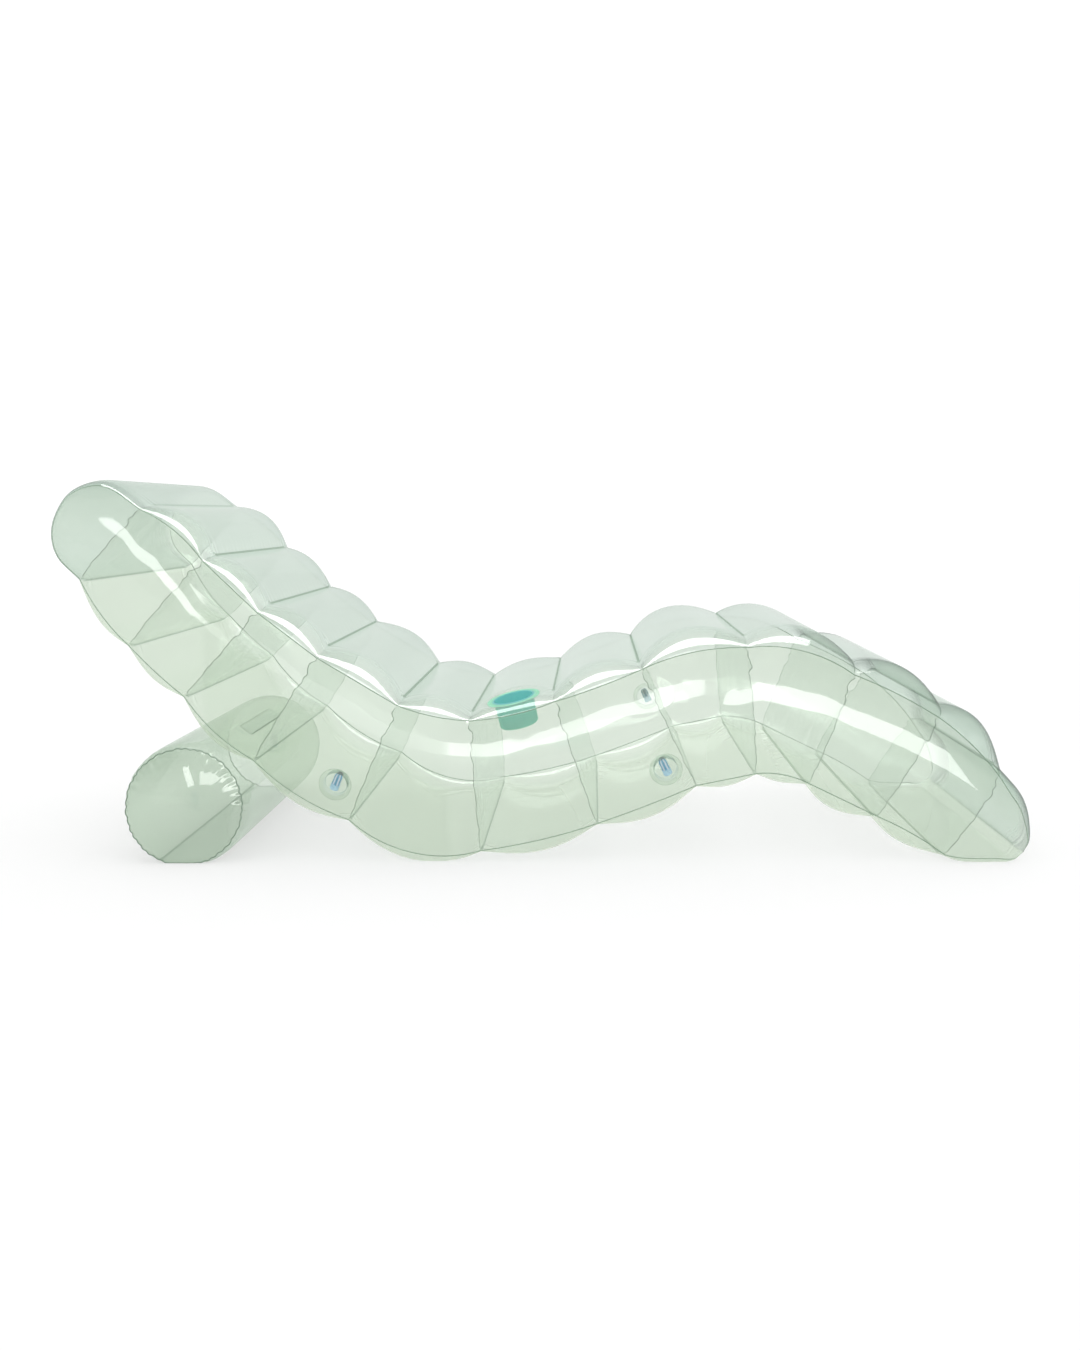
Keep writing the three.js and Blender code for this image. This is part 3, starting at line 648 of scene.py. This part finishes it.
def add_node(tree, kind, inputs=None, **settings):
    """Adds a node with its settings. Each input is a number, a colour, another node's output, or
    another node, which stands for its first output in use."""
    node = tree.nodes.new(f"ShaderNode{kind}")
    for key, value in settings.items():
        setattr(node, key, value)
    for key, value in (inputs or {}).items():
        if isinstance(value, bpy.types.Node):
            value = next(socket for socket in value.outputs if socket.enabled)
        if isinstance(value, bpy.types.NodeSocket):
            tree.links.new(value, node.inputs[key])
        else:
            node.inputs[key].default_value = value
    return node


def new_material(name):
    material = bpy.data.materials.new(name)
    material.use_nodes = True
    material.node_tree.nodes.clear()
    return material, partial(add_node, material.node_tree)


def film_material(name, face, edge, gloss, haze, steep_haze, milk, cloud_mm, cast=0.97):
    """Clear plasticised vinyl: green and faintly milky, both more so along its surface, a sharp
    mirror for softboxes, and a dark line where it is welded or cut. Where the shade of its rolled
    edge is painted, it has less milk and a deeper edge tint."""
    material, add = new_material(name)
    weld, reflection_cut, painted_roll_shade = [add("Attribute", attribute_name=key).outputs["Fac"] for key in SHARES]
    facing = add("LayerWeight", {"Blend": 0.5}).outputs["Facing"]
    along, steep = [add("Math", {0: facing, 1: power}, operation="POWER") for power in (3.0, 5.0)]
    # painted shade: the edge tint deepens on the rolled edge, where its shade is painted
    deep = add("Mix", {"Factor": painted_roll_shade, A: (*edge, 1), B: (*edge * 0.35, 1)}, **COLOUR)
    tint = add("Mix", {"Factor": along, A: (*face, 1), B: deep}, **COLOUR)
    sealed = add("Mix", {"Factor": weld, A: tint, B: WELD_LINE}, **COLOUR)
    # the light that the film lets down to the floor has lost its tint by scatter
    rays = add("LightPath").outputs
    lit = add("Math", {0: rays["Is Shadow Ray"], 1: rays["Is Diffuse Ray"]}, operation="MAXIMUM")
    passed = add("Mix", {"Factor": lit, A: sealed, B: (cast, cast, cast, 1)}, **COLOUR)
    clear = add("BsdfTransparent", {"Color": passed})
    # rolling leaves faint clouds in the gloss and the thickness
    place = add("TexCoord").outputs["Object"]
    clouds = add("TexNoise", {"Vector": place, "Scale": 1 / (cloud_mm * MM), "Detail": 3.0})
    bump = add("Bump", {"Height": clouds, "Strength": 0.04, "Distance": 0.004})
    # less of a mirror where welded, and where the reflection is cut as painted shade
    matt = add("Math", {0: weld, 1: reflection_cut}, operation="MAXIMUM")
    # slack thins the milk where the rolled edge's shade is painted
    rough, fresnel, shiny, slack, murk = [
        add("MapRange", {"Value": value, "To Min": low, "To Max": high}) for value, low, high in (
            (clouds, gloss * 0.5, gloss * 1.6), (steep, *MIRRORED), (matt, 1.0, 0.2),
            (painted_roll_shade, 1.0, 0.3), (along, haze, steep_haze))]
    mirror = add("BsdfGlossy", {"Color": WHITE, "Roughness": rough, "Normal": bump})
    cloudy = add("Mix", {"Factor": weld, A: linear(milk), B: WELD_LINE}, **COLOUR)
    milky = add("BsdfDiffuse", {"Color": cloudy})
    mirrored, misty = [add("Math", {0: a, 1: b}, operation="MULTIPLY")
                       for a, b in ((fresnel, shiny), (murk, slack))]
    body = add("MixShader", {0: misty, 1: clear, 2: milky})
    whole = add("MixShader", {0: mirrored, 1: body, 2: mirror})
    add("OutputMaterial", {"Surface": whole})
    return material


def plastic_material(name, colour, deep, pale, rough, clear, grain_mm):
    """Soft moulded PVC: its colour shifts a little with the flow of the moulding, its gloss is
    uneven, and part of the light scatters through it and part goes straight through."""
    material, add = new_material(name)
    place = add("TexCoord").outputs["Object"]
    flow = add("TexNoise", {"Vector": place, "Scale": 1 / (grain_mm * MM), "Detail": 4.0})
    # painted light: in the plastics the weld attribute marks painted light, which takes the pale
    # colour and lets a little more light through
    painted_light = add("Attribute", attribute_name="weld").outputs["Fac"]
    shade = add("Mix", {"Factor": flow, A: linear(deep), B: linear(colour)}, **COLOUR)
    tone = add("Mix", {"Factor": painted_light, A: shade, B: linear(pale)}, **COLOUR)
    gloss, more = [
        add("MapRange", {"Value": value, "To Min": low, "To Max": high}) for value, low, high in (
            (flow, rough * 0.7, rough * 1.4), (painted_light, clear, clear + 0.1))]
    bump = add("Bump", {"Height": flow, "Strength": 0.1, "Distance": 0.001})
    solid = add(
        "BsdfPrincipled", {"Base Color": tone, "Roughness": gloss, "Normal": bump, "IOR": 1.5})
    glow, through = [add(f"Bsdf{way}", {"Color": tone}) for way in ("Translucent", "Transparent")]
    soft = add("MixShader", {0: 0.4, 1: solid, 2: glow})
    mixed = add("MixShader", {0: more, 1: soft, 2: through})
    add("OutputMaterial", {"Surface": mixed})
    return material


# Colour, deeper tone mixed in by the flow, painted light's colour, roughness, share of light let
# through, grain in mm
PLASTICS = {
    # dyed through and moulded thin, so it is a bright waxy teal with the light behind it
    "moulded teal PVC": ("#A4E2E6", "#86CED8", "#CFFAE4", 0.2, 0.25, 25),
    # the stem's thick wall: the deepest blue, with painted highlights, almost white, on its ribs
    "moulded deep blue PVC": ("#A2CFDE", "#74AAC0", "#FAFEFF", 0.22, 0.2, 12),
    # the plug's soft mix: a milky pale blue
    "moulded pale blue PVC": ("#DCEFF6", "#C4E1EC", "#EAF6FA", 0.22, 0.4, 12),
}


def finish_named(name):
    """Makes each finish once. A film has its tint square on and along the surface, roughness,
    milkiness square on and along, milk's colour, clouds in mm and light let to the floor."""
    if name in bpy.data.materials:
        return bpy.data.materials[name]
    if name in PLASTICS:
        return plastic_material(name, *PLASTICS[name])
    film = bpy.context.scene.lounger_film
    face, edge = np.array(film.face), np.array(film.edge)
    clear, clear_edge = [np.array(linear(tint)[:3]) for tint in ("#F7FAF7", "#D4E2DD")]
    blown_edge = (edge + 0.3) / 1.3
    films = {
        # rolled between polished drums: glassy, and green where it is seen along its surface
        "calendered clear vinyl": (face, edge, 0.05, 0.05, 0.45, "#DDEADD", 90, 0.74),
        # the same where it lies on top: cooler, and mistier along its surface
        "calendered clear vinyl, top": (
            face * [1, 1, 1.03], edge * [1, 1, 1.1], 0.05, 0.12, 0.75, "#D7E5DA", 90),
        # the same underneath, painted lighter: a paler edge and a warmer milk, as painted light
        "calendered clear vinyl, bottom with painted light": (
            face, (edge + 1) / 2 * [1, 1, 0.96], 0.05, 0.06, 0.55, "#E6F2DE", 90),
        # thin soft film: hardly any tint, and a duller gloss
        "clear vinyl web": (face ** 0.3, edge ** 0.25, 0.12, 0.05, 0.25, "#D6E4D6", 60),
        # heavier film, blown hard: an even green with a paler edge
        "clear vinyl bolster": (
            face ** 1.05, blown_edge, 0.06, 0.08, 0.45, "#DDF0DD", 80, 0.76),
        # the same in the near end disc, painted darker: a deeper green, as painted shade
        "clear vinyl bolster, end with painted shade": (face ** 1.65, edge, 0.06, 0.08, 0.45, "#DDF0DD", 80, 0.76),
        # melted between bars: frosted, waxy and darker
        "heat-sealed vinyl edge": (face * 0.9, edge, 0.15, 0.5, 0.6, "#8FAA92", 12),
        # moulded thick without dye: water-clear, with a slightly uneven gloss
        "moulded clear PVC": (clear, clear_edge, 0.1, 0.02, 0.2, "#E4EEEE", 12),
    }
    return film_material(name, *films[name])


# Operators

def crease_of(context):
    return context.scene.lounger_film.crease / MM


class LOUNGER_OT_belt(bpy.types.Operator):
    """Top and bottom sheets of the mattress, with the web welds across them"""

    bl_idname = "lounger.belt"
    bl_label = "Top and bottom sheets"

    def execute(self, context):
        crease = crease_of(context)
        points, inset = belt_points(TOP_BELT, crease)
        points, gone = seat_disc(points, CUP_AT, CUP_AXES, *CUP_SEAT)
        # painted shade: the rolled edge beside the side seams, in a band that widens over the foot
        foot = smooth((points[..., 0] - FOOT_FROM) / 200)
        grid = {
            "points": points, "gone": gone,
            "weld": weld_share(TOP_BELT, inset, TOP_WELD_HALF, WELD_END, 0.7, WELD_EYE),
            "painted_roll_shade": 1 - smooth((inset - 10 - 70 * foot) / (26 + 30 * foot)),
            # painted shade: the foot's rolled edge has its reflection cut
            "reflection_cut": foot * (1 - smooth((inset - 70) / 30)),
        }
        mesh_piece("top_film", [grid], "calendered clear vinyl, top", "top_sheet", flip=True,
                   shades=False)
        points, inset = belt_points(BOTTOM_BELT, crease)
        weld = weld_share(BOTTOM_BELT, inset, BOTTOM_WELD_HALF, BOTTOM_WELD_END, 0.6, 0)
        mesh_piece("bottom_film", [{"points": points, "weld": 0.7 * weld}],
                   "calendered clear vinyl, bottom with painted light", "bottom_sheet", flip=True)
        return {"FINISHED"}


class LOUNGER_OT_side_panels(bpy.types.Operator):
    """The two bulging side panels, drawn in at each valve's flange"""

    bl_idname = "lounger.side_panels"
    bl_label = "Side panels"

    def execute(self, context):
        crease = crease_of(context)
        for name, side in (("right_side", -1), ("left_side", 1)):
            points = panel_points(side, crease)
            x = points[..., 0]
            # painted shade: the reflection is cut over the back's stretch of the panels
            reflection_cut = smooth((x - REFLECTION_CUT_FROM) / 16) * (1 - smooth((x - REFLECTION_CUT_TO) / 10))
            points, gone = seat_valves(points, f"{name}_panel", VALVE_SEAT)
            mesh_piece(f"{name}_film", [{"points": points, "gone": gone, "reflection_cut": reflection_cut}],
                       "calendered clear vinyl", f"{name}_panel", flip=side > 0, shades=False)
        return {"FINISHED"}


class LOUNGER_OT_webs(bpy.types.Operator):
    """The twelve cross webs inside the mattress"""

    bl_idname = "lounger.webs"
    bl_label = "Cross webs"

    def execute(self, context):
        crease = crease_of(context)
        turn = np.linspace(0, 2 * np.pi, 6, endpoint=False)
        bead = np.stack([np.cos(turn), np.sin(turn)], axis=1)
        for i in range(len(TOP_WELDS)):
            points, rim = web_points(i, crease)
            grids = [{"points": points, "weld": 1 - smooth((rim - 1.3) / 1.1)}]
            from_end = np.arange(len(points))
            from_end = np.minimum(from_end, from_end[::-1])[:, None]
            # a cut edge shows as a thin bead, which runs out to a point at both ends
            for edge, radius, weld in ((points[:, 0], 0.7, 0.7), (points[:, -1], 0.5, 0.35)):
                out = np.sign(edge[:, 1:2]) * [0.0, 1.0, 0.0]
                aside = unit(np.cross(np.gradient(edge, axis=0), out))
                thick = radius * smooth(from_end / 3)
                bar = swept(edge, out * thick, aside * thick, bead)
                grids.append({"points": bar, "round": True, "weld": weld})
            mesh_piece(f"web_film_{i + 1:02d}", grids, "clear vinyl web", f"web_{i + 1:02d}",
                       shades=False)
        return {"FINISHED"}


class LOUNGER_OT_edge_welds(bpy.types.Operator):
    """The heat-sealed edge where each side panel meets the belt"""

    bl_idname = "lounger.edge_welds"
    bl_label = "Edge welds"

    def execute(self, context):
        points, inwards = edge_loop()
        for name, side in (("right_edge_weld", -1), ("left_edge_weld", 1)):
            line = np.insert(points, 1, side * HALF_WIDTH, axis=1)
            slope = unit(np.insert(inwards, 1, side * 0.36, axis=1))
            along = unit(np.roll(line, -1, axis=0) - np.roll(line, 1, axis=0))
            up = unit(np.cross(slope, along))
            up *= np.sign(up[:, 1:2] * side)
            band = swept(line + slope * 0.8, slope, up, rounded_bar(2.2, 0.6))
            mesh_piece(name, [{"points": band, "round": True, "loop": True, "weld": 0.1}],
                       "heat-sealed vinyl edge", flip=side < 0)
        return {"FINISHED"}


class LOUNGER_OT_bolster(bpy.types.Operator):
    """The bolster: a swollen tube with a lap weld along it and a domed disc in each end"""

    bl_idname = "lounger.bolster"
    bl_label = "Bolster"

    def execute(self, context):
        crease = crease_of(context)
        turn = BOLSTER_TURN
        puckers = (0.8 * np.sin(41 * turn) + 0.7 * np.sin(29 * turn + 1)
                   + 0.5 * np.sin(17 * turn + 2))
        # at its rims the film is gathered in sharp small folds, as |sin| is
        gather = (2.8 * np.abs(np.sin(21 * turn + 0.8 * np.sin(5 * turn)))
                  + 1.4 * np.abs(np.sin(8 * turn + 1)) - 1.8)

        angle = np.linspace(-np.pi / 2, np.pi / 2, BOLSTER_ACROSS + 1)[:, None]
        y = HALF_WIDTH * np.sin(angle)
        inset = HALF_WIDTH - np.abs(y)
        swell = BOLSTER_SWELL * (1 - np.exp(-inset / 14))
        radius = (BOLSTER_RADIUS + swell + puckers * beside(inset, 8, 16) * crease
                  + gather * np.exp(-inset / 5))
        off_lap = ((turn + BOLSTER_LAP + np.pi) % (2 * np.pi) - np.pi) * BOLSTER_RADIUS
        weld = np.exp(-(off_lap / 2.2) ** 2)
        mesh_piece("bolster_film",
                   [{"points": bolster_ring(radius, y), "round": True, "weld": weld}],
                   "clear vinyl bolster", "bolster_tube")

        share = np.cos(np.linspace(0, np.pi / 2, DISC_RINGS + 1))[:, None]
        inset = (1 - share) * BOLSTER_RADIUS
        radius = BOLSTER_RADIUS * share + gather * np.exp(-inset / 5)
        dome = BOLSTER_DOME * (1 - share**2) + puckers * beside(inset, 6, 9) * crease
        for end, side in (("right", -1), ("left", 1)):
            node = f"bolster_end_{end}"
            points = bolster_ring(radius, side * (HALF_WIDTH + dome))
            points, gone = seat_valves(points, node, BOLSTER_VALVE_SEAT)
            # the far disc takes the web's paler film, a lighter copy of the bolster's film, as
            # painted light
            mesh_piece(f"bolster_disc_{end}", [{"points": points, "round": True, "gone": gone}],
                       "clear vinyl bolster, end with painted shade" if side < 0 else "clear vinyl web", node,
                       flip=side < 0)
            rim = bolster_ring(BOLSTER_RADIUS + 0.3 + gather, side * (HALF_WIDTH - 0.5))[0]
            out = unit(rim - [BOLSTER_X, side * HALF_WIDTH, BOLSTER_Z])
            across = np.broadcast_to([0.0, 1.0, 0.0], out.shape)
            band = swept(rim, across, out, rounded_bar(3.0, 1.8))
            band[..., 2] = np.maximum(band[..., 2], 0)
            mesh_piece(f"bolster_rim_weld_{end}",
                       [{"points": band, "round": True, "loop": True, "weld": 0.9}],
                       "heat-sealed vinyl edge")
        return {"FINISHED"}


class LOUNGER_OT_strap(bpy.types.Operator):
    """The short strap that hangs the bolster under the back"""

    bl_idname = "lounger.strap"
    bl_label = "Bolster strap"

    def execute(self, context):
        low, high = [np.array(corner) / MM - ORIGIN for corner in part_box("bolster_strap")]
        mesh = frame["nodes"]["bolster_strap"].data
        co = np.zeros(len(mesh.vertices) * 3)
        mesh.vertices.foreach_get("co", co)
        co = co.reshape(-1, 3) / MM - ORIGIN
        pads = co[co[:, 2] > high[2] - 30], co[co[:, 2] < low[2] + 30]
        across = (1 - np.cos(np.linspace(0, np.pi, STRAP_ACROSS + 1)))[None] / 2
        y = lerp(low[1], high[1], across)
        grids = []
        # each pad is a flat sheet from its first corner to its last, welded round its border
        t = np.linspace(0, 1, PAD_ROWS + 1)[:, None]
        for pad in pads:
            a, b = pad[pad[:, 0].argmin()], pad[pad[:, 0].argmax()]
            line = lerp(a, b, t)
            border = np.minimum(
                norm(b - a) * np.minimum(t, 1 - t), np.minimum(y - low[1], high[1] - y))
            grids.append({"points": grid_of(line[:, :1], y, line[:, 2:]),
                          "weld": 1 - smooth((border - 1.6) / 1.2)})
        # the web between the pads sags a little, in waves along the bolster
        t = np.linspace(0, 1, STRAP_ROWS + 1)[:, None]
        line = lerp(*[(pad.min(0) + pad.max(0)) / 2 for pad in pads], t)
        sag = 1.5 * np.sin(2 * np.pi * y / 75) * np.sin(np.pi * t)
        grids.append({"points": grid_of(line[:, :1] + sag, y, line[:, 2:])})
        mesh_piece("bolster_strap_film", grids, "clear vinyl web", "bolster_strap")
        return {"FINISHED"}


class LOUNGER_OT_cup(bpy.types.Operator):
    """The cup holder, with its flange and rolled rim"""

    bl_idname = "lounger.cup"
    bl_label = "Cup holder"

    def execute(self, context):
        cup = context.scene.lounger_cup
        radius, depth = cup.radius / MM, cup.depth / MM
        outline = rounded_outline([
            [0, -depth], [radius - 3, -depth], [radius, 3 - depth], [radius + 1.5, -1.4],
            [54, -1.4], [55, -0.9], [55, -0.3], [54.4, 0], [50, 0], [49.4, -0.4], [48.6, -0.4],
            [48, 0], [radius + 2.4, 0], [radius + 1.4, 0.9], [radius + 0.2, 0.9],
            [radius - 0.4, -0.6], [radius - 1.5, 4 - depth], [radius - 4.5, 1.5 - depth],
            [0, 1.5 - depth]])
        # painted light: the flange and the outside of the wall take the pale colour, and the
        # inside of the cup keeps the deeper one as painted shade
        outside = np.arange(len(outline))[:, None] < len(outline) * 0.22
        painted_light = 0.9 * np.maximum(smooth((outline[:, :1] - radius - 2) / 3), outside)
        points = CUP_AT + turned_outline(outline, cup.sides) @ CUP_AXES
        mesh_piece("cup_holder_moulding", [{"points": points, "round": True, "weld": painted_light}],
                   "moulded teal PVC", "cup_holder", flip=True)
        return {"FINISHED"}


class LOUNGER_OT_valves(bpy.types.Operator):
    """The four valves: base with its recess, folding stem, plug and check flap"""

    bl_idname = "lounger.valves"
    bl_label = "Valves"

    def execute(self, context):
        floor = -RECESS_DEPTH
        base = rounded_outline([
            [0, floor - 1], [24, floor - 1], [24, -1.2], [32.4, -1.2], [33, -0.8], [33, -0.3],
            [32.5, 0], [31.8, 0], [29, 0], [28.6, -0.3], [28, -0.3], [27.6, 0], [25.5, 0],
            [24.6, 0.5], [23.6, 0.5], [RECESS_RADIUS, -0.4], [RECESS_RADIUS, floor + 1],
            [22, floor], [0, floor]])
        stem = rounded_outline([
            [4.3, -6.7], [5.6, -5.6], [7.2, -3.4], [8, 0], [8, 6], [7.4, 6.6], [7.4, 8.4], [8, 9],
            [8, 14], [8.4, 15], [8.4, 15.9], [4.3, 15.9], [4.3, -6.7]])
        plug = rounded_outline([
            [0, 10.5], [3.9, 10.5], [4, 11], [4, 16.3], [8.6, 16.3], [9, 16.8], [9, 19],
            [8.4, 19.5], [8.4, 20.6], [9, 21], [9, 26.8], [8, 28.3], [3, 28.3], [2.6, 27.9],
            [0, 27.9]])
        flap = rounded_outline([[0, -0.5], [6.8, -0.5], [7, -0.25], [6.8, 0], [0, 0]], radius=0.1)
        for name in VALVES:
            at, axes = valve_frame(name)
            foot = at - axes[0] * STEM_FOOT
            hinge = foot - axes[2] * STEM_DEPTH
            along = axes[[1, 2, 0]]
            parts = (
                ("base", base, at, axes, "moulded clear PVC", "clear_plastic", 64),
                ("stem", stem, hinge, along, "moulded deep blue PVC", "blue_plastic", 80),
                ("plug", plug, hinge, along, "moulded pale blue PVC", "blue_plastic", 40),
                ("flap", flap, foot + axes[2] * (floor - 1.3), axes, "clear vinyl web",
                 "clear_film", 32),
            )
            for part, outline, place, turn, finish, slot, sides in parts:
                points, weld = turned_outline(outline, sides), 0.0
                radius, height = outline[:, :1], outline[:, 1:]
                if part == "base":
                    # the rim and the lip show as darker lines, and the recess floor a little
                    # darker, as painted shade
                    rim = 0.3 * smooth((radius - 31.9) / 0.4) * (height > -0.9)
                    lip = 0.5 * np.exp(-((radius - 24.6) / 0.6) ** 2) * (height > 0.1)
                    weld = np.maximum(np.maximum(rim, lip), 0.06 * (radius < 22.5))
                elif part == "stem":
                    rib = np.cos(6 * np.linspace(0, 2 * np.pi, sides, endpoint=False))[None]
                    points[..., :2] *= 1 + 0.05 * (rib * (radius > 6.5))[..., None]
                    # painted highlights: the crests of the ribs take the pale, almost white colour
                    weld = smooth((rib + 0.1) / 0.6)
                grid = {"points": place + points @ turn, "round": True, "weld": weld, "reflection_cut": 1.0}
                node = f"{name}_{part}"
                mesh_piece(f"{node}_moulding", [grid], finish, node,
                           body=BODY if part == "base" else node, flip=True)
        return {"FINISHED"}


class LOUNGER_OT_stage(bpy.types.Operator):
    """White floor, studio lights and the camera"""

    bl_idname = "lounger.stage"
    bl_label = "Stage"

    def execute(self, context):
        scene = context.scene
        scene.view_settings.view_transform = "Standard"
        mesh = bpy.data.meshes.new("studio_floor")
        reach, drop = 14.0, -0.0004
        corners = (-1, -1), (1, -1), (1, 1), (-1, 1)
        mesh.from_pydata([(x * reach, y * reach, drop) for x, y in corners], [], [(0, 1, 2, 3)])
        white, add = new_material("white studio floor")
        matt = add("BsdfDiffuse", {"Color": (0.62, 0.62, 0.62, 1)})
        glow = add("Emission", {"Color": WHITE, "Strength": 0.335})
        lit = add("AddShader", {0: matt, 1: glow})
        add("OutputMaterial", {"Surface": lit})
        mesh.materials.append(white)
        new_object("studio_floor", mesh)

        # white walls, which the film mirrors as grey ones, brighter to the back and near the floor
        scene.world = bpy.data.worlds.new("studio")
        scene.world.use_nodes = True
        scene.world.node_tree.nodes.clear()
        add = partial(add_node, scene.world.node_tree)
        mirrored = add("LightPath").outputs["Is Glossy Ray"]
        direction = add("TexCoord").outputs["Generated"]
        way = add("SeparateXYZ", {0: direction}).outputs
        walls, low = [
            add("MapRange", {0: value, 1: start, 2: end, 3: first, 4: last},
                interpolation_type=ease)
            for value, start, end, first, last, ease in (
                (way["Y"], -0.2, 0.9, 0.35, 0.8, "LINEAR"),
                (way["Z"], 0.0, 0.5, 0.9, 0.35, "SMOOTHSTEP"))]
        grey = add("Math", {0: walls, 1: low}, operation="MAXIMUM")
        around = add("Background", {"Color": grey})
        behind = add("Background", {"Color": WHITE, "Strength": 1.12})
        mixed = add("MixShader", {0: mirrored, 1: behind, 2: around})
        add("OutputWorld", {"Surface": mixed})

        stage = scene.lounger_stage
        up, forwards = (0, 0, 1), (0, -1, 0)
        lights = (  # name, place, the way its back faces, size, roll in degrees and power
            ("overhead_softbox", (0.2, -1.2, 2.5), up, (2.8, 2.3), 0, stage.key),
            ("seat_softbox", (-0.15, -4.2, 1.13), forwards, (1.0, 0.68), 0, stage.front * 0.35),
            ("front_softbox", (1.66, -4.2, 0.6), forwards, (1.95, 0.78), -10, stage.front),
            ("left_softbox", (-1.35, -4.2, 1.27), forwards, (0.36, 1.2), 23, stage.front * 0.3),
        )
        for name, at, away, size, roll, power in lights:
            lamp = bpy.data.lights.new(name, "AREA")
            lamp.shape = "RECTANGLE"
            lamp.size, lamp.size_y = size
            lamp.energy = power
            holder = new_object(name, lamp)
            holder.location = at
            turn = Vector(away).to_track_quat("Z", "Y") @ Quaternion(up, np.radians(roll))
            holder.rotation_euler = turn.to_euler()
            holder.visible_camera = False
            holder.visible_diffuse = False

        lens = bpy.data.cameras.new("camera")
        lens.lens = 40.4
        lens.sensor_width = 36.0
        lens.shift_x, lens.shift_y = -0.0385, -0.1207
        scene.camera = new_object("camera", lens)
        scene.camera.location = (0.1024, -3.455, 0.702)
        scene.camera.rotation_euler = (np.pi / 2, 0, 0)
        return {"FINISHED"}


class LOUNGER_PT_panel(bpy.types.Panel):
    """Lists the steps that build the lounger and its sizes"""

    bl_idname = "LOUNGER_PT_panel"
    bl_label = "Pool lounger"
    bl_space_type = "VIEW_3D"
    bl_region_type = "UI"
    bl_category = "Pool lounger"

    def draw(self, context):
        layout = self.layout
        for name in GROUPS:
            group = getattr(context.scene, name)
            box = layout.box()
            for key in group.__annotations__:
                box.prop(group, key)
        for operator in OPERATORS:
            layout.operator(operator.bl_idname)


GROUPS = {"lounger_film": LoungerFilm, "lounger_cup": LoungerCup, "lounger_stage": LoungerStage}
OPERATORS = (
    LOUNGER_OT_stage, LOUNGER_OT_belt, LOUNGER_OT_side_panels, LOUNGER_OT_webs,
    LOUNGER_OT_edge_welds, LOUNGER_OT_bolster, LOUNGER_OT_strap, LOUNGER_OT_cup,
    LOUNGER_OT_valves,
)
CLASSES = (*GROUPS.values(), *OPERATORS, LOUNGER_PT_panel)


def register():
    for kind in CLASSES:
        bpy.utils.register_class(kind)
    for name, group in GROUPS.items():
        setattr(bpy.types.Scene, name, PointerProperty(type=group))


def unregister():
    for name in GROUPS:
        delattr(bpy.types.Scene, name)
    for kind in reversed(CLASSES):
        bpy.utils.unregister_class(kind)


def main():
    register()
    bpy.ops.lounger.stage()
    bpy.ops.lounger.belt()
    bpy.ops.lounger.side_panels()
    bpy.ops.lounger.webs()
    bpy.ops.lounger.edge_welds()
    bpy.ops.lounger.bolster()
    bpy.ops.lounger.strap()
    bpy.ops.lounger.cup()
    bpy.ops.lounger.valves()


if __name__ == "__main__":
    main()
